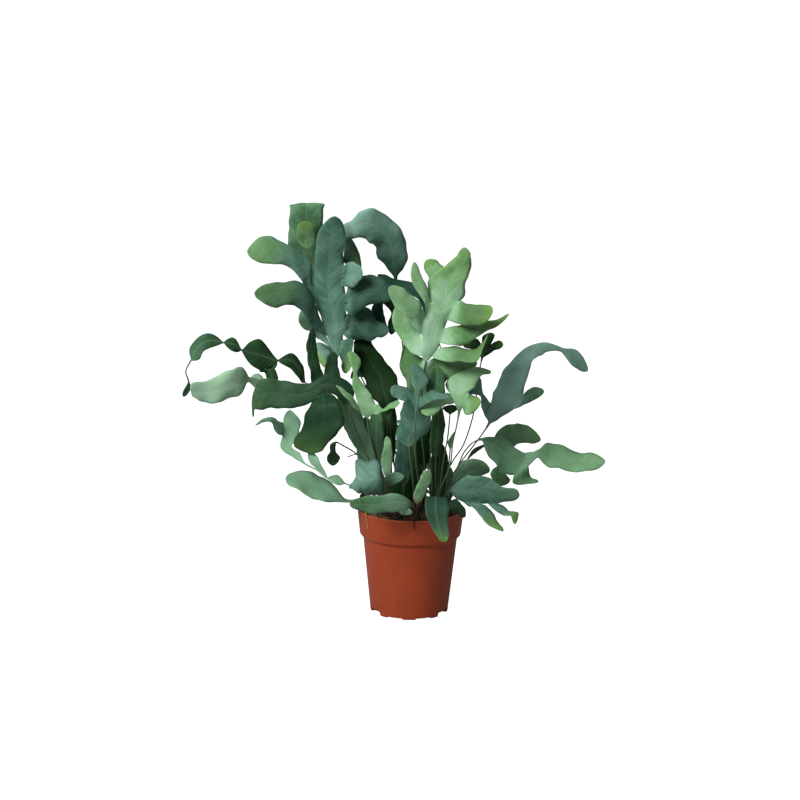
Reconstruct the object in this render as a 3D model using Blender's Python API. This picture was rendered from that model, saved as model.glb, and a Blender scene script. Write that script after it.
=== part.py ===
"""Potted blue star fern: a tapered plastic pot, its soil, a creeping rhizome and the fronds."""

import math

import bpy
import numpy as np

# Pot, in metres.
RIM_RADIUS = 0.060
BAND_RADIUS = 0.057
BODY_TOP_RADIUS = 0.0530
FOOT_RADIUS = 0.0438
POT_HEIGHT = 0.118
BAND_HEIGHT = 0.0286
WALL = 0.0016
FLOOR = 0.0030
NOTCH_DEEP = 0.0042
NOTCH_SHALLOW = 0.0014
POT_SEGMENTS = 60

# Soil, in metres.
SOIL_EDGE = 0.110
SOIL_MIDDLE = 0.1135
GAP = 0.0004

# Fronds, in metres.
LEAF_HALF_THICKNESS = 0.00036
STIPE_RADIUS = 0.00115
RACHIS_RADIUS = 0.00075
WING = 0.0026
BARE = 0.00125

# The table below gives points as they are seen from one place in front, in millimetres:
# across and up in the upright plane through the pot's axis, then how far behind that plane, before
# DEPTH_SPREAD and the relief are applied.
VIEW_FROM = (-13.9, -2200.0, 683.4)
DEPTH_SPREAD = 1.35

GREEN = (0.105, 0.200, 0.150)
BLUE = (0.110, 0.215, 0.185)
FRESH = (0.215, 0.370, 0.165)
DEEP = (0.045, 0.105, 0.060)

# Each frond: name, colour, foot on the soil (across, back), stations of its main ribbon,
# then its lobes. A station is (across, up, back) for a bare rachis, with the half width of its wing
# as a fourth number where it is not the usual one, or the left and right edge,
# (across, up, across, up), with its depth, the depth of the right edge beyond the left and, when
# the blade is folded, the depth of the midrib beyond the edges. The last station is the tip.
# A lobe: side, middle knot of its base (or first and last knot), stations from the near edge to the
# far edge, and its tip.
FRONDS = (
    ("frond_crown", BLUE, (-12, 6),
     ((-85, 284, 6), (-85, 294, 5, 4), (-86, 306, 4, 7), (-87, 320, 2, 11), (-89, 338, 0, 15),
      (-93, 356, -1, 18), (-95, 374, 0, 18), (-94, 391, 3, 16), (-108, 419, -77, 423, 6, 4), (-89, 445, 12)),
     (("L", 1, ((-91, 291, -108, 304, -8, 4), (-94, 285, -107, 293, -12, 4)), (-99, 277, -14)),
      ("L", (1.5, 2), ((-104, 308, -100, 317, 12, 2), (-116, 317, -122, 341, 13, 4)), (-127, 328, 13)),
      ("L", (2.5, 3.5), ((-115, 325, -108, 345, -10, 6), (-124, 341, -111, 358, -14, 8),
                       (-138, 346, -128, 373, -17, 10), (-152, 344, -148, 372, -20, 12)), (-176, 359, -25)),
      ("L", (5, 6.5), ((-121, 368, -116, 397, -2, 6), (-139, 389, -136, 410, -6, 8),
                       (-160, 391, -158, 423, -10, 14)), (-184, 405, -16)),
      ("R", (1, 2), ((-81, 288, -68, 309, -6, -4), (-80, 280, -67, 291, -10, -4)), (-73, 271, -14)),
      ("R", (2.5, 3.5), ((-66, 308, -66, 345, 8, 6), (-50, 308, -50, 344, 8, 6), (-40, 312, -40, 331, 8, 6)),
       (-27, 320, 6)),
      ("R", (4, 5), ((-68, 335, -68, 377, 0, 8), (-52, 346, -50, 381, -2, 10), (-37, 351, -38, 378, -4, 8)),
       (-22, 360, -6)),
      ("R", (5.5, 7), ((-68, 367, -71, 395, -6, 4), (-61, 374, -63, 392, -10, 4)), (-57, 384, -13)),
      ("R", (7.5, 8), ((-77, 393, -69, 419, 10, 2), (-69, 391, -62, 407, 13, 2)), (-59, 385, 14)))),
    ("frond_arch", BLUE, (6, 26),
     ((-20, 368, 34), (-21, 380, 33), (-33, 390, -13, 388, 31, -5), (-41, 401, -8, 403, 28, -6),
      (-44, 411, -12, 424, 25, -2), (-51, 418, -28, 444, 22, 4), (-59, 421, -45, 454, 21, 7),
      (-68, 421, -61, 450, 22, 7), (-77, 419, -71, 440, 24, 4), (-83, 430, 26)),
     ()),
    ("frond_folded", GREEN, (-20, 30),
     ((-97, 372, 62), (-111, 390, 58, 6), (-125, 403, -101, 399, 56, 3), (-139, 409, -103, 417, 54, 3),
      (-138, 434, -101, 436, 50, 3), (-137, 458, -100, 458, 52, 2), (-137, 456, -100, 455, 64, 2),
      (-132, 430, -104, 430, 74, 2), (-118, 416, 78)),
     ()),
    ("frond_between", BLUE, (14, 20),
     ((24, 318, 4), (13, 331, 18, 333, 7, 2), (9, 347, 17, 345, 9, 4), (3, 356, 9, 362, 11, 6),
      (-6, 361, -2, 374, 14, 8), (-18, 367, -17, 376, 17, 8), (-29, 370, -28, 380, 18, 8), (-41, 381, 20)),
     (("L", (3.5, 4.5), ((-19, 345, -36, 351, 27, 3), (-20, 334, -25, 339, 27, 3), (-18, 325, -29, 328, 26, 3)),
       (-25, 315, 26)),
      ("L", (5, 6), ((-34, 354, -44, 352, 23, 3), (-33, 337, -47, 337, 22, 3), (-30, 327, -42, 324, 22, 3)),
       (-30, 316, 22)))),
    ("frond_light", FRESH, (18, -16),
     ((14, 284, -66), (10, 291, 21, 291, -67, 4), (9, 299, 27, 299, -68, 6), (9, 315, 31, 314, -68, 7),
      (10, 331, 38, 332, -66, 8), (17, 346, 46, 350, -63, 5), (16, 361, 55, 359, -60, 6),
      (16, 378, 58, 378, -56, 8), (32, 391, 62, 393, -52, 8), (46, 403, 61, 403, -49, 5), (54, 413, -46)),
     (("R", (1, 2), ((50, 286, 50, 303, -76, 16), (70, 289, 71, 302, -84, 14)), (82, 316, -86)),
      ("L", (1, 2.5), ((-7, 300, 6, 321, -62, 6), (-21, 321, -1, 337, -60, 6)), (-20, 346, -60)),
      ("R", (2.5, 3.5), ((48, 304, 48, 327, -66, 8), (66, 310, 70, 330, -64, 8), (79, 320, 81, 332, -62, 5),
                         (92, 326, 92, 334, -60, 4)), (105, 340, -58)),
      ("L", (3, 4.5), ((-3, 329, 8, 349, -77, 6), (-18, 344, -5, 362, -82, 8)), (-28, 368, -84)),
      ("R", (4, 5.5), ((58, 326, 58, 351, -74, 4), (77, 329, 78, 350, -78, 4)), (87, 343, -80)),
      ("L", (4.5, 6), ((9, 356, 14, 370, -68, 4), (-3, 374, 8, 380, -68, 4)), (-1, 396, -64)),
      ("L", (7, 8), ((12, 385, 26, 397, -36, 6),), (12, 398, -33)),
      ("L", (-1, 0), ((-8, 264, 7, 291, -54, 6), (-15, 279, -7, 302, -48, 6)), (-10, 307, -46)),
      ("R", (-1, 0), ((36, 263, 38, 287, -55, 6), (56, 270, 58, 288, -51, 5)), (71, 284, -49)))),
    ("frond_shaded", DEEP, (32, 2),
     ((47, 174, 4), (57, 190, 3, 1.1), (64, 210, 1, 1.1), (69, 232, -2, 1.1), (72, 262, -8, 1.1),
      (75, 284, -16, 1.2), (78, 298, -25, 3), (76, 313, 90, 314, -27, 2), (85, 319, -28)),
     (("L", (5.5, 6.5), ((66, 300, 68, 312, -30, 4),), (55, 304, -34)),
      ("R", (5.5, 6.5), ((90, 299, 95, 310, -28, 4),), (99, 304, -30)))),
    ("frond_dark_left", GREEN, (-31, -13),
     ((-70, 230, -38), (-81, 242, -66, 256, -40, 4), (-91, 247, -80, 266, -42, 4), (-102, 245, -99, 268, -43, 4),
      (-112, 237, -113, 260, -44, 4), (-123, 232, -124, 258, -44, 6), (-146, 230, -145, 262, -43, 10),
      (-165, 228, -166, 263, -40, 10), (-175, 229, -177, 250, -37, 6), (-178, 221, -36)),
     (("R", (2, 3), ((-83, 281, -96, 284, -24, -2),), (-88, 295, -20)),
      ("L", (2, 3.5), ((-80, 234, -116, 232, -54, 4), (-77, 213, -121, 214, -56, 4),
                       (-88, 196, -129, 199, -58, 4), (-99, 184, -131, 188, -58, 4)), (-115, 179, -58)),
      ("R", (3, 4), ((-102, 276, -114, 272, -44, -4), (-105, 288, -117, 285, -43, -4), (-107, 303, -118, 300, -40, -6)),
       (-112, 321, -36)))),
    ("frond_dark_middle", DEEP, (-22, 19),
     ((-25, 220, 9), (-36, 235, -17, 238, 4, 4), (-50, 250, -15, 256, 5, 4), (-53, 262, -18, 270, 8, 6),
      (-60, 276, -30, 284, 10, 8), (-66, 291, -39, 297, 14, 8), (-66, 304, -46, 306, 17, 6), (-56, 313, 18)),
     ()),
    ("frond_chain", DEEP, (-34, 20),
     ((-55, 210, 16), (-66, 236, 18, 1.1), (-86, 255, 20, 1.1), (-106, 258, 20, 1.1), (-119, 259, 20, 1.2),
      (-127, 265, -122, 280, 18, 6), (-137, 276, -133, 292, 17, 8), (-150, 284, 14, 0.9),
      (-170, 272, -170, 307, 10, 12), (-190, 295, 6, 0.9), (-200, 293, -199, 309, 4, 8), (-210, 303, 2, 0.9),
      (-220, 299, -219, 311, 0, 6), (-230, 294, -231, 313, -2, 8), (-236, 286, -247, 299, -5, 10),
      (-247, 281, -8, 1.2), (-252, 270, -10, 0.9), (-249, 258, -12, 1.2), (-255, 249, -246, 251, -14, 6),
      (-254, 241, -16)),
     (("L", (7, 8), ((-154, 275, -165, 270, 8, 4), (-150, 266, -163, 265, 6, 4)), (-153, 258, 6)),)),
    ("frond_pale", FRESH, (-40, 4),
     ((-50, 202, 4), (-62, 234, 2, 1.1), (-82, 251, 2, 1.1), (-104, 256, 4, 1.1), (-128, 250, 6, 1.1),
      (-146, 249, 8, 1.1), (-158, 246, 8, 1.2), (-172, 250, -168, 260, 6, 4), (-183, 259, -182, 265, 2, 3),
      (-194, 242, -190, 277, -6, 10), (-214, 236, -206, 271, -13, 12), (-235, 236, -232, 259, -18, 10), (-244, 241, -245, 257, -21, 4),
      (-247, 249, -22)),
     (("R", (6.5, 7.5), ((-165, 262, -179, 264, 10, 3),), (-172, 269, 12)),)),
    ("frond_curled", GREEN, (-35, -14),
     ((-66, 142, -46), (-74, 145, -47, 1.1), (-83, 143, -83, 155, -48, 6), (-94, 151, -50, 1), (-106, 160, -50, 0.9),
      (-119, 167, -50, 1.2), (-131, 173, -125, 179, -47, -2), (-146, 184, -134, 188, -42, -5),
      (-145, 198, -127, 197, -41, -6), (-144, 213, -125, 212, -43, -6), (-136, 228, -46)),
     (("R", (3, 4), ((-101, 167, -115, 170, -54, 4),), (-113, 182, -54)),
      ("L", (8, 9), ((-152, 203, -148, 215, -47, 4), (-158, 214, -157, 220, -52, 3), (-167, 213, -166, 218, -56, 2)),
       (-175, 210, -60)))),
    ("frond_low_left", GREEN, (-44, 4),
     ((-56, 127, -22), (-72, 125, -28), (-83, 124, -81, 136, -32, 8), (-102, 124, -97, 152, -36, 16),
      (-125, 136, -122, 160, -42, 14), (-141, 150, -46)),
     ()),
    ("frond_dangling", DEEP, (-30, -22),
     ((-64, 181, -32), (-76, 188, -33, 1), (-85, 192, -34, 2.4), (-88, 188, -34, 3.2), (-88, 182, -34, 3.2),
      (-95, 175, -80, 175, -35, 4), (-88, 165, -35)),
     ()),
    ("frond_pale_middle", FRESH, (-24, -27),
     ((-50, 220, -58), (-59, 229, -41, 230, -61, 4), (-63, 243, -44, 243, -63, 4), (-67, 257, -52, 255, -64, 5),
      (-66, 271, -62, 270, -64, 2), (-72, 291, -57, 284, -62, 4), (-67, 295, -60)),
     (("L", 1, ((-69, 238, -67, 245, -70, 6),), (-85, 257, -74)),
      ("R", 1, ((-33, 228, -32, 232, -68, 6), (-22, 232, -20, 241, -70, 6)), (-14, 238, -72)))),
    ("frond_teal", BLUE, (10, -34),
     ((4, 226, -76), (5, 238, -78), (6, 250, -78), (-2, 263, 18, 263, -76, 4), (1, 284, -72)),
     (("L", 1, ((-10, 240, -8, 257, -82, 8), (-19, 245, -19, 259, -84, 6)), (-25, 252, -86)),
      ("R", 1, ((22, 242, 21, 253, -82, 8),), (40, 246, -86)))),
    ("frond_teal_low", BLUE, (4, -44),
     ((-3, 188, -60), (-17, 197, 9, 198, -61, 4), (-16, 210, 18, 205, -62, 5), (-13, 225, 21, 222, -65, 4),
      (-11, 236, 20, 238, -68, 3), (4, 246, -68)),
     ()),
    ("frond_hollow", DEEP, (24, -20),
     ((24, 238, -66), (16, 254, 36, 252, -67, 3, 3), (18, 269, 35, 268, -67, 3, 3), (26, 281, -66)),
     ()),
    ("frond_bright", FRESH, (24, -36),
     ((44, 172, -46), (46, 195, -52, 1.1), (50, 215, -58, 1.1), (52, 229, -62, 1.6), (47, 239, 58, 239, -63, -3),
      (41, 250, 61, 250, -64, -5), (36, 261, 68, 257, -64, -8), (52, 275, 72, 266, -63, -8),
      (66, 280, 78, 271, -61, -5), (86, 276, -58)),
     (("L", (4, 5), ((36, 236, 34, 250, -70, 6), (22, 225, 20, 243, -74, 8)), (10, 229, -76)),
      ("R", (3.5, 5), ((60, 225, 64, 250, -70, 8),), (76, 240, -72)))),
    ("frond_right", BLUE, (36, -6),
     ((57, 174, -10), (67, 188, -12, 1.1), (77, 202, -14, 1.1), (86, 217, -16, 1.6), (80, 228, 99, 223, -16, -4),
      (87, 240, 113, 233, -16, -12), (91, 256, 123, 251, -12, -16), (98, 272, 127, 272, -10, -16),
      (107, 287, 131, 285, -6, -14), (122, 301, 139, 294, -2, -10), (147, 309, 148, 298, 2, -6),
      (164, 301, 4), (182, 300, 176, 283, 4, -6), (194, 278, 2)),
     (("L", (4, 5), ((77, 238, 84, 243, -18, 2), (75, 247, 79, 250, -21, 3), (61, 251, 78, 259, -25, 8)),
       (69, 271, -27)),
      ("R", (5, 6), ((128, 240, 131, 258, -26, 4),), (146, 253, -28)))),
    ("frond_far_right", GREEN, (44, -14),
     ((54, 172, -22), (60, 185, -24, 1.1), (68, 194, -26, 1.1), (78, 198, -28, 1.6), (92, 201, 84, 184, -30, -4),
      (107, 198, 92, 172, -33, -7), (118, 188, 100, 163, -35, -7), (129, 184, 115, 158, -37, -6),
      (136, 185, 131, 168, -38, -4), (142, 188, 141, 178, -38, -2), (155, 196, 156, 167, -38, -6),
      (190, 186, 190, 163, -44, -9), (217, 175, -50)),
     (("L", (4, 5), ((107, 215, 113, 189, -22, 6), (125, 216, 127, 195, -18, 6)), (144, 199, -18)),
      ("R", (5.5, 6.5), ((88, 160, 112, 152, -38, 4),), (99, 145, -40)),
      ("R", (7, 8), ((114, 149, 134, 157, -42, 4),), (141, 149, -44)))),
    ("frond_low_right", BLUE, (40, -30),
     ((44, 138, -44), (55, 150, 54, 127, -50, 10), (70, 157, 70, 124, -54, 10), (85, 153, 86, 123, -58, 10),
      (97, 146, 98, 125, -60, 10), (111, 143, 112, 126, -62, 8), (122, 135, -66)),
     (("R", (1.5, 2.5), ((74, 116, 90, 118, -54, 4), (82, 105, 97, 106, -58, 4)), (104, 92, -61)),
      ("R", (3, 4), ((95, 117, 107, 120, -55, 3), (103, 111, 110, 117, -56, 2), (112, 111, 121, 114, -58, 4)),
       (118, 101, -60)))),
    ("frond_over_rim", BLUE, (20, -36),
     ((26, 126, -50), (16, 131, 41, 131, -58, 3), (16, 121, 42, 120, -64, 3), (18, 108, 42, 108, -67, 4),
      (23, 97, 43, 97, -68, 3), (29, 87, 43, 86, -68, 3), (32, 83, 42, 82, -68, 2), (37, 79, -67)),
     ()),
    ("frond_fold_front", BLUE, (-20, -34),
     ((-31, 149, -58), (-33, 134, -36, 172, -60, 6, -10), (-47, 130, -50, 173, -64, 8, -12),
      (-56, 132, -62, 171, -66, 6, -10), (-62, 136, -62, 155, -68, 3, -4), (-66, 139, -66, 146, -69, 1), (-70, 141, -70)),
     ()),
    ("frond_low_front", GREEN, (-11, -42),
     ((2, 122, -60), (-20, 113, -19, 134, -70, -4), (-40, 110, -42, 131, -74, -4), (-55, 113, -56, 129, -76, -4),
      (-69, 121, -76)),
     ()),
    ("frond_rounded", FRESH, (8, -47),
     ((7, 122, -54), (3, 134, 16, 134, -57, 3), (10, 152, 23, 151, -59, 3), (19, 162, -58)),
     ()),
)

FRONDS_SMALL = (
    ("young_teal_left", BLUE, (-35, -37), ((-33, 145, -46), (-23, 143, -24, 158, -43, 4), (-8, 154, -42)), ()),
    ("young_rim", GREEN, (-13, -45), ((-14, 114, -56), (-8, 119, -8, 109, -60, 4), (2, 113, -62)), ()),
    ("young_pale_narrow", FRESH, (-22, -22),
     ((-27, 150, -35), (-34, 172, -21, 172, -36, 3), (-31, 190, -23, 192, -35, 3), (-28, 200, -33)), ()),
    ("young_upright_a", GREEN, (-34, -3),
     ((-42, 160, -14), (-64, 188, -44, 190, -15, 5), (-75, 206, -53, 212, -16, 5), (-81, 227, -60, 232, -18, 5),
      (-80, 247, -20)), ()),
    ("young_upright_b", DEEP, (-20, 4),
     ((-36, 170, -8), (-48, 194, -31, 194, -8, 5), (-48, 214, -32, 214, -8, 5), (-40, 231, -6)), ()),
    ("young_upright_c", BLUE, (-12, -26),
     ((-8, 142, -38), (-19, 162, 0, 162, -38, 4), (-17, 184, -1, 184, -37, 4), (-14, 200, -5, 200, -36, 4),
      (-10, 214, -34)), ()),
    ("young_upright_d", DEEP, (6, -8),
     ((13, 160, -12), (5, 182, 21, 182, -12, 5), (5, 206, 21, 206, -12, 5), (14, 228, -10)), ()),
    ("young_upright_e", DEEP, (28, -10),
     ((29, 124, -12), (20, 136, 40, 136, -12, 4), (21, 166, 42, 164, -14, 5), (22, 182, 40, 180, -14, 5), (29, 197, -14)), ()),
    ("young_olive", FRESH, (38, -22), ((43, 186, -30), (40, 194, 47, 197, -30, 2), (48, 207, -30)), ()),
    ("young_right_a", GREEN, (46, -20),
     ((47, 144, -26), (54, 168, 60, 148, -30, 6), (68, 176, 74, 153, -34, 6), (88, 164, -36)), ()),
    ("young_olive_low", GREEN, (-25, -3),
     ((-37, 150, -4), (-60, 173, -38, 172, -6, 6), (-62, 194, -42, 196, -6, 4), (-52, 222, -4)), ()),
    ("young_upright_f", DEEP, (-14, 14),
     ((-20, 170, 18), (-36, 200, -18, 200, 18, 4), (-38, 222, -17, 224, 16, 4), (-31, 242, 16)), ()),
    ("young_upright_g", DEEP, (-2, 2),
     ((-1, 128, 4), (-11, 150, 12, 150, 4, 4), (-9, 184, 12, 184, 6, 4), (0, 208, 8)), ()),
    ("young_upright_h", GREEN, (38, 0),
     ((42, 126, -1), (34, 142, 50, 141, -1, 3), (37, 154, 48, 153, -1, 3), (43, 166, -1)), ()),
    ("young_rim_right", GREEN, (48, -25),
     ((43, 124, -34), (51, 129, 45, 116, -40, 4), (59, 121, 54, 110, -42, 4), (62, 109, -42)), ()),
    ("young_right_b", DEEP, (44, 8),
     ((62, 174, 6), (70, 181, 68, 186, 6, 3), (84, 193, 4)), ()),
    ("young_shaded", DEEP, (32, -30),
     ((37, 182, -38), (40, 200, -42, 1.1), (42, 226, -48, 1.2), (34, 232, 51, 232, -51, 3), (44, 237, -54)), ()),
    ("young_dark_rim", DEEP, (-28, 9),
     ((-28, 120, 7), (-36, 130, -21, 131, 7, 3), (-36, 142, -21, 143, 7, 3), (-29, 153, 7)), ()),
    ("young_upright_i", DEEP, (29, -16),
     ((27, 176, -19), (20, 194, 35, 194, -20, 4), (21, 214, 37, 213, -21, 4), (29, 238, -22)), ()),
    ("young_dark_low", DEEP, (-9, -14),
     ((-8, 122, -11), (-22, 136, 3, 137, -11, 3), (-22, 152, 2, 153, -10, 3), (-10, 167, -9)), ()),
    ("young_bright_tip", FRESH, (-6, 16),
     ((-92, 340, 28), (-106, 384, 34, 1.2), (-118, 408, 36, 1.2), (-129, 418, -109, 417, 38, 3),
      (-130, 428, -108, 428, 38, 3), (-121, 439, 37)), ()),
)

# Fronds of the far side: name, colour, foot (across, back), heading in degrees from straight
# right, reach and height of the crest, droop of the tip, lobe length, pairs of lobes.
FRONDS_FAR = (
    ("far_a", GREEN, (-10, 38), 97, 125, 205, 56, 37, 3),
    ("far_b", BLUE, (-24, 36), 103, 92, 165, 44, 28, 2),
    ("far_c", GREEN, (8, 38), 80, 105, 152, 34, 32, 3),
    ("far_d", BLUE, (24, 36), 64, 72, 137, 26, 25, 2),
    ("far_e", DEEP, (-31, 28), 118, 54, 140, 24, 22, 2),
    ("far_f", FRESH, (-1, 41), 91, 56, 133, 34, 24, 2),
    ("far_g", BLUE, (-14, 26), 152, 100, 365, 10, 36, 3),
)


def relief(across, up):
    """How far the plant bulges backwards at a place of the upright plane, in millimetres."""
    rise = min(1.0, max(0.0, (up - 125.0) / 70.0))
    rise = rise * rise * (3 - 2 * rise)
    return rise * (24 * math.sin(across / 55 + 0.6) * math.cos(up / 75) + 15 * math.sin(up / 42 + across / 85))


def world(across, up, back):
    """The point, in metres, that is seen at (across, up) at the table's depth back."""
    back = DEPTH_SPREAD * back + relief(across, up)
    eye = np.array(VIEW_FROM)
    flat = np.array((across, 0.0, up))
    return (eye + (flat - eye) * (back - eye[1]) / (0.0 - eye[1])) * 0.001


def unit(vector):
    length = np.linalg.norm(vector, axis=-1, keepdims=True)
    return vector / np.maximum(length, 1e-9)


def slopes(knots, values, flat):
    """Slopes of a smooth curve through values. With flat, no overshoot between the knots."""
    step = np.diff(knots)[:, None]
    secant = np.diff(values, axis=0) / step
    inner = (secant[:-1] * step[1:] + secant[1:] * step[:-1]) / (step[1:] + step[:-1])
    if flat:
        low = np.minimum(np.abs(secant[:-1]), np.abs(secant[1:]))
        same = np.sign(secant[:-1]) == np.sign(secant[1:])
        inner = np.where(same, np.sign(inner) * np.minimum(np.abs(inner), 2.2 * low), 0.0)
    return np.concatenate([secant[:1], inner, secant[-1:]])


def curve(knots, values, at, flat=False):
    """Cubic curve through values at the knots, read at the parameters at."""
    slope = slopes(knots, values, flat)
    i = np.clip(np.searchsorted(knots, at, side="right") - 1, 0, len(knots) - 2)
    step = (knots[i + 1] - knots[i])[:, None]
    t = (at - knots[i])[:, None] / step
    return (
        (2 * t**3 - 3 * t**2 + 1) * values[i]
        + (t**3 - 2 * t**2 + t) * step * slope[i]
        + (3 * t**2 - 2 * t**3) * values[i + 1]
        + (t**3 - t**2) * step * slope[i + 1]
    )


def station(entry):
    """Centre, half vector to the right edge (or its length) and fold vector of a table entry."""
    if len(entry) == 3:
        return world(*entry), WING, np.zeros(3)
    if len(entry) == 4:
        return world(*entry[:3]), entry[3] * 0.001, np.zeros(3)
    xl, zl, xr, zr, back, slant = entry[:6]
    left = world(xl, zl, back - slant / 2)
    right = world(xr, zr, back + slant / 2)
    fold = np.array((0.0, entry[6] * 0.001, 0.0)) if len(entry) > 6 else np.zeros(3)
    return (left + right) / 2, (right - left) / 2, fold


def soil_height(x, y):
    """Height of the soil at a place, highest in the middle."""
    share = min(1.0, math.hypot(x, y) / (RIM_RADIUS - 0.004))
    return SOIL_MIDDLE + (SOIL_EDGE - SOIL_MIDDLE) * share**2


def stem_points(foot, base, heading):
    """Points of the bare stipe from the soil to the blade: upright at the foot, turning to heading."""
    start = np.array((foot[0], foot[1], soil_height(foot[0], foot[1]) + 2 * GAP))
    reach = np.linalg.norm(base - start)
    first = start + np.array((0.0, 0.0, 0.36 * reach))
    second = base - heading * 0.30 * reach
    t = np.array((0.0, 0.3, 0.62))[:, None]
    return (1 - t) ** 3 * start + 3 * (1 - t) ** 2 * t * first + 3 * (1 - t) * t**2 * second + t**3 * base


def tip_width(share, point):
    """Half width near the tip: elliptic when point is 0, pointed when it is 1."""
    return (1 - share ** (2 - 0.6 * point)) ** (0.5 + 0.45 * point)


def rows_of(count, cells, fine):
    """Knot parameter of each row: cells rows to a knot, and rounder spacing before the tip."""
    body = np.linspace(0, count - 2, (count - 2) * cells * fine + 1)
    last = count - 2 + np.sin(np.linspace(0, math.pi / 2, cells * fine + 1))[1:]
    return np.concatenate([body, last])


def ribbon(centres, halves, folds, rows, across, point):
    """Grid of points: rows along the knots, columns from the left edge (-1) to the right edge (1)."""
    count = len(centres)
    length = np.linalg.norm(np.diff(centres, axis=0), axis=1)
    knots = np.concatenate([[0.0], np.cumsum(length)])
    at = np.interp(rows, np.arange(count), knots)
    middle = curve(knots, centres, at)
    inner = np.minimum(at, knots[-2])
    half = curve(knots[:-1], halves[:-1], inner, True)
    square = curve(knots[:-1], np.sum(halves[:-1] ** 2, axis=1)[:, None], inner, True)
    half = unit(half) * np.sqrt(np.maximum(square, 0.0))
    fold = curve(knots, folds, at, True)
    share = np.clip(rows - (count - 2), 0, 1)
    half = half * tip_width(share, point)[:, None]
    u = across[None, :, None]
    return middle[:, None] + u * half[:, None] + (1 - np.abs(u) ** 1.5) * fold[:, None]


class Sheet:
    """A leaf's middle surface: points, faces facing the upper side, and half the thickness."""

    def __init__(self):
        self.points = []
        self.half = []
        self.faces = []

    def add(self, points, half):
        first = len(self.points)
        self.points.extend(points)
        self.half.extend(half)
        return np.arange(first, first + len(points))

    def grid(self, index, flip):
        for a, b in zip(index[:-1], index[1:]):
            for i in range(len(a) - 1):
                corner = [np.array(self.points[j]) for j in (a[i], a[i + 1], b[i + 1], b[i])]
                if np.linalg.norm(corner[0] - corner[2]) <= np.linalg.norm(corner[1] - corner[3]):
                    pair = ((a[i], a[i + 1], b[i + 1]), (a[i], b[i + 1], b[i]))
                else:
                    pair = ((a[i], a[i + 1], b[i]), (a[i + 1], b[i + 1], b[i]))
                for face in pair:
                    self.faces.append(face[::-1] if flip else face)

    def fan(self, row, tip, flip):
        for i in range(len(row) - 1):
            face = (row[i], row[i + 1], tip)
            self.faces.append(face[::-1] if flip else face)


def add_lobe(sheet, base, spec, flip, fine):
    """One lobe that grows from the points base of its parent's edge."""
    stations, tip = spec
    here = np.array([sheet.points[i] for i in base])
    start = here[len(here) // 2]
    centres, halves, folds = [start], [(here[-1] - here[0]) / 2], [np.zeros(3)]
    for centre, half, fold in stations:
        centres.append(centre)
        halves.append(half)
        folds.append(fold)
    centres.append(tip)
    halves.append(np.zeros(3))
    folds.append(np.zeros(3))
    rows = rows_of(len(centres), 2, fine)
    across = np.linspace(-1, 1, len(base))
    grid = ribbon(np.array(centres), np.array(halves), np.array(folds), rows, across, 0.25)
    lack = here - grid[0]
    fade = np.clip(1 - rows / 0.8, 0, 1)[:, None, None]
    grid = grid + lack[None] * fade
    index = [base]
    for row in grid[1:-1]:
        index.append(sheet.add(row, [LEAF_HALF_THICKNESS] * len(row)))
    end = sheet.add(grid[-1][:1], [LEAF_HALF_THICKNESS])
    sheet.grid(index, flip)
    sheet.fan(index[-1], end[0], flip)


def carried(given, along, facing):
    """Half vectors of all stations. A plain length takes its direction from the next full vector."""
    halves = [None] * len(given)
    side = None
    for i in reversed(range(len(given))):
        if np.ndim(given[i]):
            side = unit(given[i])
            halves[i] = given[i]
            continue
        if side is None:
            side = np.cross(along[i], facing)
        side = unit(side - along[i] * np.dot(side, along[i]))
        halves[i] = side * given[i]
    return halves


def leading(stations):
    """How many stations after the first still belong to the bare stipe."""
    count = 0
    for _, half, _ in stations[1:]:
        if np.ndim(half) or half > BARE:
            break
        count += 1
    return count


def frond_sheet(foot, stations, tip, lobes, facing, fine=1):
    """The middle surface of a whole frond, from its foot to its tips."""
    centres = [s[0] for s in stations]
    heading = unit(centres[1] - centres[0])
    stem = stem_points(foot, centres[0], heading)
    count = len(stem)
    middle = np.array([*stem, *centres, tip])
    along = unit(np.gradient(middle, axis=0))
    given = [STIPE_RADIUS] * count + [STIPE_RADIUS * 1.2] + [s[1] for s in stations[1:]] + [0.0]
    halves = carried(given, along, facing)
    folds = [np.zeros(3)] * count + [s[2] for s in stations] + [np.zeros(3)]
    rows = rows_of(len(middle), 2, fine)
    across = np.linspace(-1, 1, 2 * fine + 1)
    grid = ribbon(middle, np.array(halves), np.array(folds), rows, across, 0.25)
    bare = np.clip((count + leading(stations) + 0.5 - rows) / 0.5, 0, 1)[:, None]
    round_stem = STIPE_RADIUS * np.sqrt(1 - 0.8 * across[None] ** 2)
    along_rib = RACHIS_RADIUS * np.clip(1 - (rows - count) / (len(middle) - count), 0.2, 1)[:, None]
    blade = LEAF_HALF_THICKNESS + (along_rib - LEAF_HALF_THICKNESS).clip(0) * (1 - np.abs(across[None])) ** 2
    half = bare * round_stem + (1 - bare) * blade
    sheet = Sheet()
    index = [sheet.add(row, list(h)) for row, h in zip(grid[:-1], half[:-1])]
    end = sheet.add(grid[-1][:1], [LEAF_HALF_THICKNESS])
    sheet.grid(index, False)
    sheet.fan(index[-1], end[0], False)
    for side, knot, spans, end_point in lobes:
        first, last = knot if isinstance(knot, tuple) else (knot - 0.5, knot + 0.5)
        first, last = (int(round((count + k) * 2)) * fine for k in (first, last))
        column = -1 if side == "R" else 0
        base = [index[r][column] for r in range(first, last + 1)]
        add_lobe(sheet, base, (spans, end_point), side == "R", fine)
    return sheet


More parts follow.
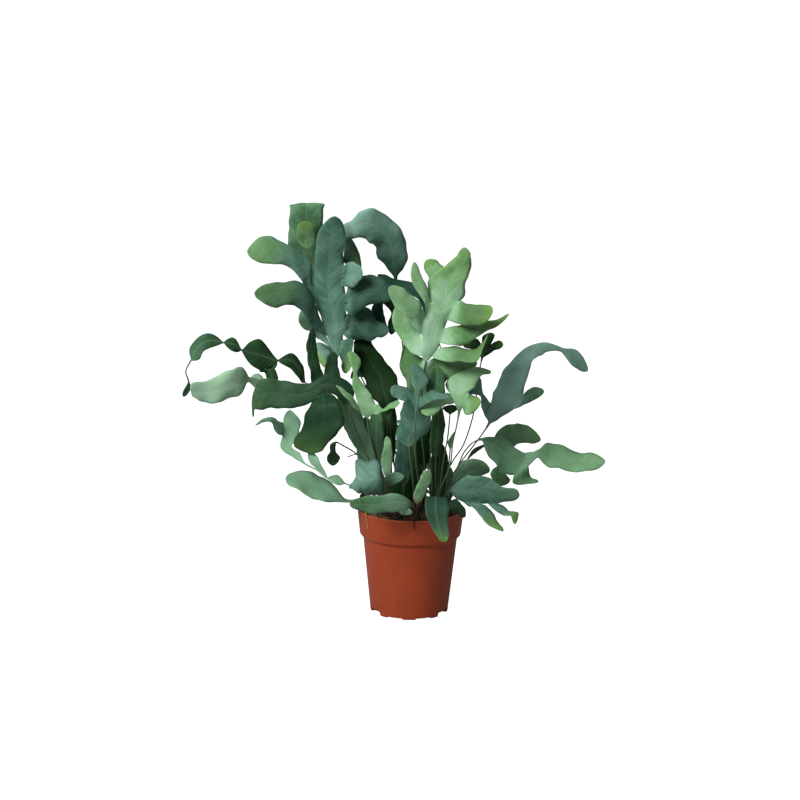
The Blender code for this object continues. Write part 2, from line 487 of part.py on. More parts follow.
def thicken(sheet):
    """Closed body: the sheet moved up and down by half its thickness, joined along its border."""
    points = np.array(sheet.points)
    normal = np.zeros_like(points)
    for face in sheet.faces:
        a, b, c = points[face[0]], points[face[1]], points[face[2]]
        turn = np.cross(b - a, c - a)
        for i in face:
            normal[i] += turn
    normal = unit(normal) * np.array(sheet.half)[:, None]
    count = len(points)
    faces = list(sheet.faces)
    faces += [tuple(i + count for i in face[::-1]) for face in sheet.faces]
    edges = {}
    for face in sheet.faces:
        for a, b in zip(face, face[1:] + face[:1]):
            edges[(a, b)] = True
    for a, b in edges:
        if (b, a) not in edges:
            faces.append((b, a, a + count, b + count))
    return np.concatenate([points + normal, points - normal]), faces


def table_frond(entry):
    """Stations, tip and lobes of an entry of FRONDS, as points in metres."""
    _, _, foot, ribs, lobes = entry
    stations = [station(rib) for rib in ribs[:-1]]
    made = []
    for side, knot, spans, end in lobes:
        made.append((side, knot, [station(span) for span in spans], world(*end)))
    facing = unit(np.array((0.0, -1.0, 0.28)))
    return (foot[0] * 0.001, foot[1] * 0.001), stations, world(*ribs[-1]), made, facing


def far_frond(entry):
    """Stations, tip and lobes of an arching frond of the far side."""
    name, _, foot, degrees, reach, crest, droop, size, pairs = entry
    feet = np.array((foot[0], foot[1], 0.0)) * 0.001
    out = np.array((math.cos(math.radians(degrees)), math.sin(math.radians(degrees)), 0.0))
    aside = np.array((out[1], -out[0], 0.0))
    up = np.array((0.0, 0.0, 1.0))
    wave = sum(ord(letter) for letter in name)
    count = 2 * pairs + 2

    def rib(share):
        rise = 112 + (crest - 112) * (1 - 0.5 * (1 - share) ** 2) - droop * max(0.0, share - 0.35) ** 2 * 2.2
        sway = 9 * math.sin(wave + 2.2 * share)
        return feet + (out * reach * (0.35 + 0.65 * share) + aside * sway + up * rise) * 0.001

    stations = []
    for i in range(count):
        stations.append((rib(i / count), WING, np.zeros(3)))
    tangent = unit(rib(1.0) - rib(0.86))
    width = 0.30 * size * 0.001
    stations.append((rib(1.0) + tangent * size * 0.0003, aside * width, np.zeros(3)))
    tip = rib(1.0) + tangent * size * 0.0008 - up * 0.004
    lobes = []
    for i in range(2 * pairs):
        share = (i + 1) / count
        side = "R" if i % 2 else "L"
        hand = 1.0 if i % 2 else -1.0
        along = unit(rib(min(1.0, share + 0.1)) - rib(share))
        length = size * (1.05 - 0.45 * abs(share - 0.4)) * (1 + 0.1 * math.sin(wave + 3 * i)) * 0.001
        lean = 0.30 * math.sin(wave * 1.3 + 2 * i) - 0.10
        away = unit(along * 0.42 + aside * hand + up * lean)
        flat = unit(along - away * np.dot(along, away))
        middle = rib(share) + away * length * 0.56
        end = rib(share) + away * length - up * length * 0.18
        lobes.append((side, i + 1, [(middle, flat * 0.21 * length, np.zeros(3))], end))
    facing = unit(np.cross(aside, unit(rib(0.5) - rib(0.3))))
    return (feet[0], feet[1]), stations, tip, lobes, facing


def material(name, colour, roughness, sheen=0.0):
    made = bpy.data.materials.new(name)
    made.use_nodes = True
    shader = made.node_tree.nodes["Principled BSDF"]
    shader.inputs["Base Color"].default_value = (*colour, 1.0)
    shader.inputs["Roughness"].default_value = roughness
    shader.inputs["Sheen Weight"].default_value = sheen
    return made


def add_object(name, points, faces, look, smooth=True):
    mesh = bpy.data.meshes.new(name)
    mesh.from_pydata([tuple(map(float, p)) for p in points], [], [tuple(map(int, f)) for f in faces])
    mesh.polygons.foreach_set("use_smooth", [smooth] * len(mesh.polygons))
    mesh.materials.append(look)
    mesh.update()
    made = bpy.data.objects.new(name, mesh)
    bpy.context.scene.collection.objects.link(made)
    return made


def turned(profile, segments, lift=None):
    """Closed body turned about the upright axis from a closed profile of (radius, height)."""
    points, rings = [], []
    for radius, height in profile:
        if radius == 0:
            rings.append([len(points)] * segments)
            points.append((0.0, 0.0, height))
            continue
        rings.append(list(range(len(points), len(points) + segments)))
        for i in range(segments):
            angle = 2 * math.pi * i / segments
            rise = lift(angle, radius, height) if lift else 0.0
            points.append((radius * math.cos(angle), radius * math.sin(angle), height + rise))
    faces = []
    for low, high in zip(rings[:-1], rings[1:]):
        for i in range(segments):
            j = (i + 1) % segments
            face = [low[i], low[j], high[j], high[i]]
            faces.append(tuple(dict.fromkeys(face)))
    return points, faces


def foot_lift(angle, radius, height):
    """Notches in the foot: four deep ones and four shallow ones between them."""
    if height > 0.0005 or radius < 0.035:
        return 0.0
    turn = math.degrees(angle) + 90
    rise = 0.0
    for middle, half, depth in ((62, 14, NOTCH_DEEP), (22, 12, NOTCH_SHALLOW)):
        for centre in (middle, -middle, 180 - middle, 180 + middle):
            off = abs((turn - centre + 180) % 360 - 180)
            if off < half:
                rise = depth
    return rise


def build_pot():
    band_low = POT_HEIGHT - BAND_HEIGHT
    profile = [
        (0, 0.0), (0.030, 0.0), (0.0385, 0.0), (FOOT_RADIUS - 0.0010, 0.0), (FOOT_RADIUS, 0.0010),
        (FOOT_RADIUS + 0.0006, 0.0062), (BODY_TOP_RADIUS, band_low - 0.0035), (BAND_RADIUS - 0.0006, band_low - 0.0002),
        (BAND_RADIUS, band_low + 0.0008), (RIM_RADIUS - 0.0004, POT_HEIGHT - 0.0006),
        (RIM_RADIUS - 0.0011, POT_HEIGHT), (RIM_RADIUS - 0.0022, POT_HEIGHT - 0.0004),
        (BAND_RADIUS - WALL, band_low + 0.002), (BODY_TOP_RADIUS - WALL, band_low - 0.003),
        (FOOT_RADIUS - WALL + 0.0006, 0.0075), (0, 0.0075),
    ]
    points, faces = turned(profile, POT_SEGMENTS, foot_lift)
    look = material("terracotta_plastic", (0.335, 0.080, 0.036), 0.42)
    add_object("pot", points, faces, look)


def build_soil():
    band_low = POT_HEIGHT - BAND_HEIGHT
    inset = WALL + GAP + 0.0003
    low = FOOT_RADIUS - inset + 0.0006
    middle = BODY_TOP_RADIUS - inset
    wide = BAND_RADIUS - inset
    slope = (RIM_RADIUS - BAND_RADIUS) / BAND_HEIGHT
    edge = wide + slope * (SOIL_EDGE - band_low) - 0.0004
    profile = [(0, 0.0080), (low - 0.0002, 0.0080), (middle, band_low - 0.0034), (wide, band_low + 0.003)]
    profile.append((edge, SOIL_EDGE))
    for share in (0.66, 0.33):
        profile.append((edge * share, soil_height(edge * share, 0)))
    profile.append((0, SOIL_MIDDLE))
    points, faces = turned(profile, 36)
    look = material("peat", (0.022, 0.014, 0.009), 0.95)
    add_object("soil", points, faces, look, False)


def tube(name, path, radii, look, sides=7):
    """Closed tube along a path, with its own radius at each point and a pole at each end."""
    path = np.array(path)
    along = unit(np.gradient(path, axis=0))
    points, faces = [tuple(path[0])], []
    for i, here in enumerate(path[1:-1], 1):
        first = unit(np.cross(along[i], (0.13, 0.21, 0.97)))
        second = np.cross(along[i], first)
        for k in range(sides):
            angle = 2 * math.pi * k / sides
            points.append(tuple(here + radii[i] * (math.cos(angle) * first + math.sin(angle) * second)))
    points.append(tuple(path[-1]))
    rings = len(path) - 2
    last = len(points) - 1
    for k in range(sides):
        n = (k + 1) % sides
        faces.append((0, 1 + n, 1 + k))
        for r in range(rings - 1):
            a = 1 + r * sides
            faces.append((a + k, a + n, a + sides + n, a + sides + k))
        a = 1 + (rings - 1) * sides
        faces.append((a + k, a + n, last))
    return add_object(name, points, faces, look)


def creeping(start, end, bow, radius, steps):
    """Path of a runner that lies on the soil, bowed sideways."""
    path, radii = [], []
    for i in range(steps):
        t = i / (steps - 1)
        x = start[0] + (end[0] - start[0]) * t + bow[0] * math.sin(math.pi * t)
        y = start[1] + (end[1] - start[1]) * t + bow[1] * math.sin(math.pi * t)
        thick = radius * (0.72 + 0.28 * math.sin(math.pi * min(1.0, 0.15 + t)))
        path.append((x, y, soil_height(x, y) + thick + GAP))
        radii.append(thick)
    return path, radii


def over_rim(degrees, drift, start, drop, steps):
    """Path of a root that leaves the soil, crosses the rim and hangs down its outside."""
    path = []
    for i in range(steps):
        t = i / (steps - 1)
        inside = min(1.0, t / 0.4)
        outside = max(0.0, (t - 0.55) / 0.45)
        height = SOIL_EDGE + 0.0018 + (POT_HEIGHT + 0.0018 - SOIL_EDGE) * math.sin(inside * math.pi / 2)
        height = height - drop * outside**1.4
        over = min(1.0, max(0.0, (t - 0.2) / 0.4))
        radius = start + (RIM_RADIUS + 0.0022 - start) * over
        if outside > 0:
            wall = BAND_RADIUS + (RIM_RADIUS - BAND_RADIUS) * (height - POT_HEIGHT + BAND_HEIGHT) / BAND_HEIGHT
            radius = max(wall + 0.0012, radius - 0.004 * outside)
        angle = math.radians(degrees + drift * t)
        path.append((radius * math.cos(angle), radius * math.sin(angle), height))
    return path


def build_runners():
    hair = material("rhizome_hair", (0.36, 0.20, 0.075), 0.85, 0.4)
    path, radii = creeping((-0.046, -0.004), (-0.024, -0.039), (-0.004, -0.004), 0.0028, 8)
    tube("rhizome", path, radii, hair)
    dark = material("root_dark", (0.075, 0.022, 0.012), 0.7)
    tube("root_front", over_rim(-91, 5, 0.050, 0.0130, 9), [0.0007] * 9, dark, 5)
    gold = material("root_gold", (0.50, 0.27, 0.10), 0.7)
    tube("root_left", over_rim(-148, 6, 0.050, 0.0200, 9), [0.0007] * 9, gold, 5)


def build_fronds():
    for entry in FRONDS + FRONDS_SMALL:
        points, faces = thicken(frond_sheet(*table_frond(entry)))
        add_object(entry[0], points, faces, material("leaf_" + entry[0], entry[1], 0.5))
    for entry in FRONDS_FAR:
        points, faces = thicken(frond_sheet(*far_frond(entry)))
        add_object(entry[0], points, faces, material("leaf_" + entry[0], entry[1], 0.5))


def main():
    for old in list(bpy.data.objects):
        bpy.data.objects.remove(old)
    build_pot()
    build_soil()
    build_runners()
    build_fronds()


main()
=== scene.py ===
"""Looks of a potted blue star fern: satin plastic pot, peat, hairy rhizome and thin waxy fronds."""

import math

import bpy
import numpy as np
from mathutils import Matrix, Vector

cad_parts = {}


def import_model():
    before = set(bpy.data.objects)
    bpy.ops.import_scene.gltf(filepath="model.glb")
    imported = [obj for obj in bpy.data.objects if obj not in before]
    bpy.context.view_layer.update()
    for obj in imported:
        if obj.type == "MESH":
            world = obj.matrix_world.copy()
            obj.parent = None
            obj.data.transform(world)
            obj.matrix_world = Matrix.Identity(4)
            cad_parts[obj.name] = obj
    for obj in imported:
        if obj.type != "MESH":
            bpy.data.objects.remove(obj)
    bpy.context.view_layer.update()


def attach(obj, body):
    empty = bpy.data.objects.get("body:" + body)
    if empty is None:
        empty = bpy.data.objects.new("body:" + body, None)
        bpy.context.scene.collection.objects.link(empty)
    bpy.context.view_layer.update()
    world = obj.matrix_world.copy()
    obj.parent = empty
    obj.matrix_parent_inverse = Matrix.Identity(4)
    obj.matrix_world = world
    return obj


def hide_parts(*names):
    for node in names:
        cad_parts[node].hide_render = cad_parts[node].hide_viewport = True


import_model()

# Pot, in metres.
RIM_RADIUS = 0.060
BAND_RADIUS = 0.057
BODY_TOP_RADIUS = 0.0530
FOOT_RADIUS = 0.0438
POT_HEIGHT = 0.118
BAND_HEIGHT = 0.0286
BAND_LOW = POT_HEIGHT - BAND_HEIGHT
WALL = 0.0016
NOTCH_DEEP = 0.0042
NOTCH_SHALLOW = 0.0014
POT_SEGMENTS = 360

# Soil, in metres: heights at its edge and middle, and the gap to what lies on it.
SOIL_EDGE = 0.110
SOIL_MIDDLE = 0.1135
GAP = 0.0004

# Numbers of small parts.
CRUMBS = 950
FIBRES = 260
RHIZOME_HAIRS = 1500
ROOT_HAIRS = 70

# Fronds, in metres: half thicknesses, half widths of the stipe, radii of the ridges along the ribs, the
# usual half width of a rachis's wing, and the most that still counts as bare stipe.
BLADE_HALF_THICKNESS = 0.00022
MARGIN_HALF_THICKNESS = 0.00014
STIPE_WIDE = 0.00082
STIPE_NARROW = 0.00062
RACHIS_RADIUS = 0.00072
LOBE_RIB_RADIUS = 0.00040
WING = 0.0026
BARE = 0.00125

# Rows of faces from one station to the next, and points across a blade.
CELLS = 10
COLUMNS = 15

# How a blade swells beside its rib, droops at its margin and ripples, as shares of its half width, and
# the most that these move a point, in metres.
ARCH = 0.20
DROOP = 0.07
RIPPLE = 0.11
MOST_LIFT = 0.0023

# The fronds' points are given as they are seen from this place in front, in millimetres.
VIEW_FROM = (-13.9, -2200.0, 683.4)
DEPTH_SPREAD = 1.35

GREEN = "leaf_green"
BLUE = "leaf_blue"
FRESH = "leaf_fresh"
# The darker leaf look is a dimmed copy of the others. It paints shade on the inner and back fronds that lie
# in the plant's shade.
LEAF_IN_SHADE = "leaf_deep"

# Colours, as linear red, green and blue.
FRESH_TIP = (0.165, 0.335, 0.060)
PALE_RIB = (0.30, 0.46, 0.34)
STALK = (0.072, 0.108, 0.044)
STALK_FOOT = (0.020, 0.014, 0.008)
OLD_TIP = (0.42, 0.13, 0.03)
POT_LIGHT = (0.335, 0.057, 0.021)
POT_DARK = (0.285, 0.043, 0.014)
POT_PALE = (0.42, 0.12, 0.06)
PEAT_LIGHT = (0.070, 0.042, 0.024)
PEAT_DARK = (0.012, 0.008, 0.005)
RHIZOME_LIGHT = (0.30, 0.16, 0.06)
RHIZOME_DARK = (0.070, 0.035, 0.014)
DARK_ROOT = ((0.150, 0.030, 0.016), (0.050, 0.012, 0.008))
GOLDEN_ROOT = ((0.60, 0.34, 0.13), (0.38, 0.17, 0.06))

# Blades: colour under the bloom, the bloom, the deep colour that paints shade on low-toned blades,
# the underside, the bloom's share, the shine.
BLADES = {
    BLUE: ((0.062, 0.170, 0.112), (0.235, 0.415, 0.345), (0.010, 0.046, 0.026), (0.085, 0.190, 0.110),
           0.50, 0.13),
    GREEN: ((0.055, 0.165, 0.062), (0.225, 0.420, 0.275), (0.008, 0.036, 0.014), (0.080, 0.180, 0.070),
            0.46, 0.13),
    FRESH: ((0.135, 0.315, 0.105), (0.360, 0.570, 0.415), (0.040, 0.110, 0.024), (0.130, 0.270, 0.090),
            0.52, 0.13),
    # Painted shade: the darker look, with little bloom and shine, for fronds in the plant's shade.
    LEAF_IN_SHADE: ((0.018, 0.068, 0.018), (0.120, 0.250, 0.165), (0.006, 0.026, 0.005), (0.040, 0.098, 0.030),
           0.18, 0.05),
}

# Camera, in metres and degrees: it stands in front, looks a little down, and leans a little. Its lens
# and sensor are in millimetres.
CAMERA_PLACE = (-0.0139, -2.2, 0.6834)
CAMERA_DOWN = 11.36
CAMERA_LEAN = 0.9
CAMERA_LENS = 90.81
SENSOR = 36.0

# Studio: the floor's radius in metres, and the strength of the white surroundings, as they light the
# plant and as they are seen. Then a large soft box at the upper left in front and weak ones elsewhere,
# each with its place, what it faces, its size, its power and its colour.
FLOOR_RADIUS = 8.0
AMBIENT = 0.13
SEEN_WHITE = 1.05
AIM = (0, 0, 0.25)
LIGHTS = (
    ("key_light", (-1.45, -1.85, 1.9), AIM, 1.1, 90.0, (1.0, 0.99, 0.97)),
    ("top_light", (-0.2, 0.5, 2.4), AIM, 1.6, 14.0, (0.97, 0.99, 1.0)),
    ("fill_light", (2.2, -1.6, 0.9), AIM, 1.6, 1.5, (0.96, 0.98, 1.0)),
)

# Each frond: name, colour, foot on the soil (across, back), stations of its main ribbon,
# then its lobes. A station is (across, up, back) for a bare rachis, with the half width of its wing
# as a fourth number where it is not the usual one, or the left and right edge,
# (across, up, across, up), with its depth, the depth of the right edge beyond the left and, when
# the blade is folded, the depth of the midrib beyond the edges. The last station is the tip.
# A lobe: side, middle knot of its base (or first and last knot), stations from the near edge to the
# far edge, and its tip.
FRONDS = (
    ("frond_crown", BLUE, (-12, 6),
     ((-85, 284, 6), (-85, 294, 5, 4), (-86, 306, 4, 7), (-87, 320, 2, 11), (-89, 338, 0, 15),
      (-93, 356, -1, 18), (-95, 374, 0, 18), (-94, 391, 3, 16), (-108, 419, -77, 423, 6, 4),
      (-89, 445, 12)),
     (("L", 1, ((-91, 291, -108, 304, -8, 4), (-94, 285, -107, 293, -12, 4)), (-99, 277, -14)),
      ("L", (1.5, 2), ((-104, 308, -100, 317, 12, 2), (-116, 317, -122, 341, 13, 4)), (-127, 328, 13)),
      ("L", (2.5, 3.5), ((-115, 325, -108, 345, -10, 6), (-124, 341, -111, 358, -14, 8),
       (-138, 346, -128, 373, -17, 10), (-152, 344, -148, 372, -20, 12)), (-176, 359, -25)),
      ("L", (5, 6.5), ((-121, 368, -116, 397, -2, 6), (-139, 389, -136, 410, -6, 8),
       (-160, 391, -158, 423, -10, 14)), (-184, 405, -16)),
      ("R", (1, 2), ((-81, 288, -68, 309, -6, -4), (-80, 280, -67, 291, -10, -4)), (-73, 271, -14)),
      ("R", (2.5, 3.5), ((-66, 308, -66, 345, 8, 6), (-50, 308, -50, 344, 8, 6),
       (-40, 312, -40, 331, 8, 6)), (-27, 320, 6)),
      ("R", (4, 5), ((-68, 335, -68, 377, 0, 8), (-52, 346, -50, 381, -2, 10), (-37, 351, -38, 378, -4, 8)),
       (-22, 360, -6)),
      ("R", (5.5, 7), ((-68, 367, -71, 395, -6, 4), (-61, 374, -63, 392, -10, 4)), (-57, 384, -13)),
      ("R", (7.5, 8), ((-77, 393, -69, 419, 10, 2), (-69, 391, -62, 407, 13, 2)), (-59, 385, 14)))),
    ("frond_arch", BLUE, (6, 26),
     ((-20, 368, 34), (-21, 380, 33), (-33, 390, -13, 388, 31, -5), (-41, 401, -8, 403, 28, -6),
      (-44, 411, -12, 424, 25, -2), (-51, 418, -28, 444, 22, 4), (-59, 421, -45, 454, 21, 7),
      (-68, 421, -61, 450, 22, 7), (-77, 419, -71, 440, 24, 4), (-83, 430, 26)), ()),
    ("frond_folded", GREEN, (-20, 30),
     ((-97, 372, 62), (-111, 390, 58, 6), (-125, 403, -101, 399, 56, 3), (-139, 409, -103, 417, 54, 3),
      (-138, 434, -101, 436, 50, 3), (-137, 458, -100, 458, 52, 2), (-137, 456, -100, 455, 64, 2),
      (-132, 430, -104, 430, 74, 2), (-118, 416, 78)), ()),
    ("frond_between", BLUE, (14, 20),
     ((24, 318, 4), (13, 331, 18, 333, 7, 2), (9, 347, 17, 345, 9, 4), (3, 356, 9, 362, 11, 6),
      (-6, 361, -2, 374, 14, 8), (-18, 367, -17, 376, 17, 8), (-29, 370, -28, 380, 18, 8), (-41, 381, 20)),
     (("L", (3.5, 4.5), ((-19, 345, -36, 351, 27, 3), (-20, 334, -25, 339, 27, 3),
       (-18, 325, -29, 328, 26, 3)), (-25, 315, 26)),
      ("L", (5, 6), ((-34, 354, -44, 352, 23, 3), (-33, 337, -47, 337, 22, 3), (-30, 327, -42, 324, 22, 3)),
       (-30, 316, 22)))),
    ("frond_light", FRESH, (18, -16),
     ((14, 284, -66), (10, 291, 21, 291, -67, 4), (9, 299, 27, 299, -68, 6), (9, 315, 31, 314, -68, 7),
      (10, 331, 38, 332, -66, 8), (17, 346, 46, 350, -63, 5), (16, 361, 55, 359, -60, 6),
      (16, 378, 58, 378, -56, 8), (32, 391, 62, 393, -52, 8), (46, 403, 61, 403, -49, 5), (54, 413, -46)),
     (("R", (1, 2), ((50, 286, 50, 303, -76, 16), (70, 289, 71, 302, -84, 14)), (82, 316, -86)),
      ("L", (1, 2.5), ((-7, 300, 6, 321, -62, 6), (-21, 321, -1, 337, -60, 6)), (-20, 346, -60)),
      ("R", (2.5, 3.5), ((48, 304, 48, 327, -66, 8), (66, 310, 70, 330, -64, 8), (79, 320, 81, 332, -62, 5),
       (92, 326, 92, 334, -60, 4)), (105, 340, -58)),
      ("L", (3, 4.5), ((-3, 329, 8, 349, -77, 6), (-18, 344, -5, 362, -82, 8)), (-28, 368, -84)),
      ("R", (4, 5.5), ((58, 326, 58, 351, -74, 4), (77, 329, 78, 350, -78, 4)), (87, 343, -80)),
      ("L", (4.5, 6), ((9, 356, 14, 370, -68, 4), (-3, 374, 8, 380, -68, 4)), (-1, 396, -64)),
      ("L", (7, 8), ((12, 385, 26, 397, -36, 6),), (12, 398, -33)),
      ("L", (-1, 0), ((-8, 264, 7, 291, -54, 6), (-15, 279, -7, 302, -48, 6)), (-10, 307, -46)),
      ("R", (-1, 0), ((36, 263, 38, 287, -55, 6), (56, 270, 58, 288, -51, 5)), (71, 284, -49)))),
    ("frond_shaded", LEAF_IN_SHADE, (32, 2),
     ((47, 174, 4), (57, 190, 3, 1.1), (64, 210, 1, 1.1), (69, 232, -2, 1.1), (72, 262, -8, 1.1),
      (75, 284, -16, 1.2), (78, 298, -25, 3), (76, 313, 90, 314, -27, 2), (85, 319, -28)),
     (("L", (5.5, 6.5), ((66, 300, 68, 312, -30, 4),), (55, 304, -34)),
      ("R", (5.5, 6.5), ((90, 299, 95, 310, -28, 4),), (99, 304, -30)))),
    ("frond_dark_left", GREEN, (-31, -13),
     ((-70, 230, -38), (-81, 242, -66, 256, -40, 4), (-91, 247, -80, 266, -42, 4),
      (-102, 245, -99, 268, -43, 4), (-112, 237, -113, 260, -44, 4), (-123, 232, -124, 258, -44, 6),
      (-146, 230, -145, 262, -43, 10), (-165, 228, -166, 263, -40, 10), (-175, 229, -177, 250, -37, 6),
      (-178, 221, -36)),
     (("R", (2, 3), ((-83, 281, -96, 284, -24, -2),), (-88, 295, -20)),
      ("L", (2, 3.5), ((-80, 234, -116, 232, -54, 4), (-77, 213, -121, 214, -56, 4),
       (-88, 196, -129, 199, -58, 4), (-99, 184, -131, 188, -58, 4)), (-115, 179, -58)),
      ("R", (3, 4), ((-102, 276, -114, 272, -44, -4), (-105, 288, -117, 285, -43, -4),
       (-107, 303, -118, 300, -40, -6)), (-112, 321, -36)))),
    ("frond_dark_middle", LEAF_IN_SHADE, (-22, 19),
     ((-25, 220, 9), (-36, 235, -17, 238, 4, 4), (-50, 250, -15, 256, 5, 4), (-53, 262, -18, 270, 8, 6),
      (-60, 276, -30, 284, 10, 8), (-66, 291, -39, 297, 14, 8), (-66, 304, -46, 306, 17, 6),
      (-56, 313, 18)), ()),
    ("frond_chain", LEAF_IN_SHADE, (-34, 20),
     ((-55, 210, 16), (-66, 236, 18, 1.1), (-86, 255, 20, 1.1), (-106, 258, 20, 1.1), (-119, 259, 20, 1.2),
      (-127, 265, -122, 280, 18, 6), (-137, 276, -133, 292, 17, 8), (-150, 284, 14, 0.9),
      (-170, 272, -170, 307, 10, 12), (-190, 295, 6, 0.9), (-200, 293, -199, 309, 4, 8),
      (-210, 303, 2, 0.9), (-220, 299, -219, 311, 0, 6), (-230, 294, -231, 313, -2, 8),
      (-236, 286, -247, 299, -5, 10), (-247, 281, -8, 1.2), (-252, 270, -10, 0.9), (-249, 258, -12, 1.2),
      (-255, 249, -246, 251, -14, 6), (-254, 241, -16)),
     (("L", (7, 8), ((-154, 275, -165, 270, 8, 4), (-150, 266, -163, 265, 6, 4)), (-153, 258, 6)),)),
    ("frond_pale", FRESH, (-40, 4),
     ((-50, 202, 4), (-62, 234, 2, 1.1), (-82, 251, 2, 1.1), (-104, 256, 4, 1.1), (-128, 250, 6, 1.1),
      (-146, 249, 8, 1.1), (-158, 246, 8, 1.2), (-172, 250, -168, 260, 6, 4), (-183, 259, -182, 265, 2, 3),
      (-194, 242, -190, 277, -6, 10), (-214, 236, -206, 271, -13, 12), (-235, 236, -232, 259, -18, 10),
      (-244, 241, -245, 257, -21, 4), (-247, 249, -22)),
     (("R", (6.5, 7.5), ((-165, 262, -179, 264, 10, 3),), (-172, 269, 12)),)),
    ("frond_curled", GREEN, (-35, -14),
     ((-66, 142, -46), (-74, 145, -47, 1.1), (-83, 143, -83, 155, -48, 6), (-94, 151, -50, 1),
      (-106, 160, -50, 0.9), (-119, 167, -50, 1.2), (-131, 173, -125, 179, -47, -2),
      (-146, 184, -134, 188, -42, -5), (-145, 198, -127, 197, -41, -6), (-144, 213, -125, 212, -43, -6),
      (-136, 228, -46)),
     (("R", (3, 4), ((-101, 167, -115, 170, -54, 4),), (-113, 182, -54)),
      ("L", (8, 9), ((-152, 203, -148, 215, -47, 4), (-158, 214, -157, 220, -52, 3),
       (-167, 213, -166, 218, -56, 2)), (-175, 210, -60)))),
    ("frond_low_left", GREEN, (-44, 4),
     ((-56, 127, -22), (-72, 125, -28), (-83, 124, -81, 136, -32, 8), (-102, 124, -97, 152, -36, 16),
      (-125, 136, -122, 160, -42, 14), (-141, 150, -46)), ()),
    ("frond_dangling", LEAF_IN_SHADE, (-30, -22),
     ((-64, 181, -32), (-76, 188, -33, 1), (-85, 192, -34, 2.4), (-88, 188, -34, 3.2), (-88, 182, -34, 3.2),
      (-95, 175, -80, 175, -35, 4), (-88, 165, -35)), ()),
    ("frond_pale_middle", FRESH, (-24, -27),
     ((-50, 220, -58), (-59, 229, -41, 230, -61, 4), (-63, 243, -44, 243, -63, 4),
      (-67, 257, -52, 255, -64, 5), (-66, 271, -62, 270, -64, 2), (-72, 291, -57, 284, -62, 4),
      (-67, 295, -60)),
     (("L", 1, ((-69, 238, -67, 245, -70, 6),), (-85, 257, -74)),
      ("R", 1, ((-33, 228, -32, 232, -68, 6), (-22, 232, -20, 241, -70, 6)), (-14, 238, -72)))),
    ("frond_teal", BLUE, (10, -34),
     ((4, 226, -76), (5, 238, -78), (6, 250, -78), (-2, 263, 18, 263, -76, 4), (1, 284, -72)),
     (("L", 1, ((-10, 240, -8, 257, -82, 8), (-19, 245, -19, 259, -84, 6)), (-25, 252, -86)),
      ("R", 1, ((22, 242, 21, 253, -82, 8),), (40, 246, -86)))),
    ("frond_teal_low", BLUE, (4, -44),
     ((-3, 188, -60), (-17, 197, 9, 198, -61, 4), (-16, 210, 18, 205, -62, 5), (-13, 225, 21, 222, -65, 4),
      (-11, 236, 20, 238, -68, 3), (4, 246, -68)), ()),
    ("frond_hollow", LEAF_IN_SHADE, (24, -20),
     ((24, 238, -66), (16, 254, 36, 252, -67, 3, 3), (18, 269, 35, 268, -67, 3, 3), (26, 281, -66)), ()),
    ("frond_bright", FRESH, (24, -36),
     ((44, 172, -46), (46, 195, -52, 1.1), (50, 215, -58, 1.1), (52, 229, -62, 1.6),
      (47, 239, 58, 239, -63, -3), (41, 250, 61, 250, -64, -5), (36, 261, 68, 257, -64, -8),
      (52, 275, 72, 266, -63, -8), (66, 280, 78, 271, -61, -5), (86, 276, -58)),
     (("L", (4, 5), ((36, 236, 34, 250, -70, 6), (22, 225, 20, 243, -74, 8)), (10, 229, -76)),
      ("R", (3.5, 5), ((60, 225, 64, 250, -70, 8),), (76, 240, -72)))),
    ("frond_right", BLUE, (36, -6),
     ((57, 174, -10), (67, 188, -12, 1.1), (77, 202, -14, 1.1), (86, 217, -16, 1.6),
      (80, 228, 99, 223, -16, -4), (87, 240, 113, 233, -16, -12), (91, 256, 123, 251, -12, -16),
      (98, 272, 127, 272, -10, -16), (107, 287, 131, 285, -6, -14), (122, 301, 139, 294, -2, -10),
      (147, 309, 148, 298, 2, -6), (164, 301, 4), (182, 300, 176, 283, 4, -6), (194, 278, 2)),
     (("L", (4, 5), ((77, 238, 84, 243, -18, 2), (75, 247, 79, 250, -21, 3), (61, 251, 78, 259, -25, 8)),
       (69, 271, -27)),
      ("R", (5, 6), ((128, 240, 131, 258, -26, 4),), (146, 253, -28)))),
    ("frond_far_right", GREEN, (44, -14),
     ((54, 172, -22), (60, 185, -24, 1.1), (68, 194, -26, 1.1), (78, 198, -28, 1.6),
      (92, 201, 84, 184, -30, -4), (107, 198, 92, 172, -33, -7), (118, 188, 100, 163, -35, -7),
      (129, 184, 115, 158, -37, -6), (136, 185, 131, 168, -38, -4), (142, 188, 141, 178, -38, -2),
      (155, 196, 156, 167, -38, -6), (190, 186, 190, 163, -44, -9), (217, 175, -50)),
     (("L", (4, 5), ((107, 215, 113, 189, -22, 6), (125, 216, 127, 195, -18, 6)), (144, 199, -18)),
      ("R", (5.5, 6.5), ((88, 160, 112, 152, -38, 4),), (99, 145, -40)),
      ("R", (7, 8), ((114, 149, 134, 157, -42, 4),), (141, 149, -44)))),
    ("frond_low_right", BLUE, (40, -30),
     ((44, 138, -44), (55, 150, 54, 127, -50, 10), (70, 157, 70, 124, -54, 10), (85, 153, 86, 123, -58, 10),
      (97, 146, 98, 125, -60, 10), (111, 143, 112, 126, -62, 8), (122, 135, -66)),
     (("R", (1.5, 2.5), ((74, 116, 90, 118, -54, 4), (82, 105, 97, 106, -58, 4)), (104, 92, -61)),
      ("R", (3, 4), ((95, 117, 107, 120, -55, 3), (103, 111, 110, 117, -56, 2),
       (112, 111, 121, 114, -58, 4)), (118, 101, -60)))),
    ("frond_over_rim", BLUE, (20, -36),
     ((26, 126, -50), (16, 131, 41, 131, -58, 3), (16, 121, 42, 120, -64, 3), (18, 108, 42, 108, -67, 4),
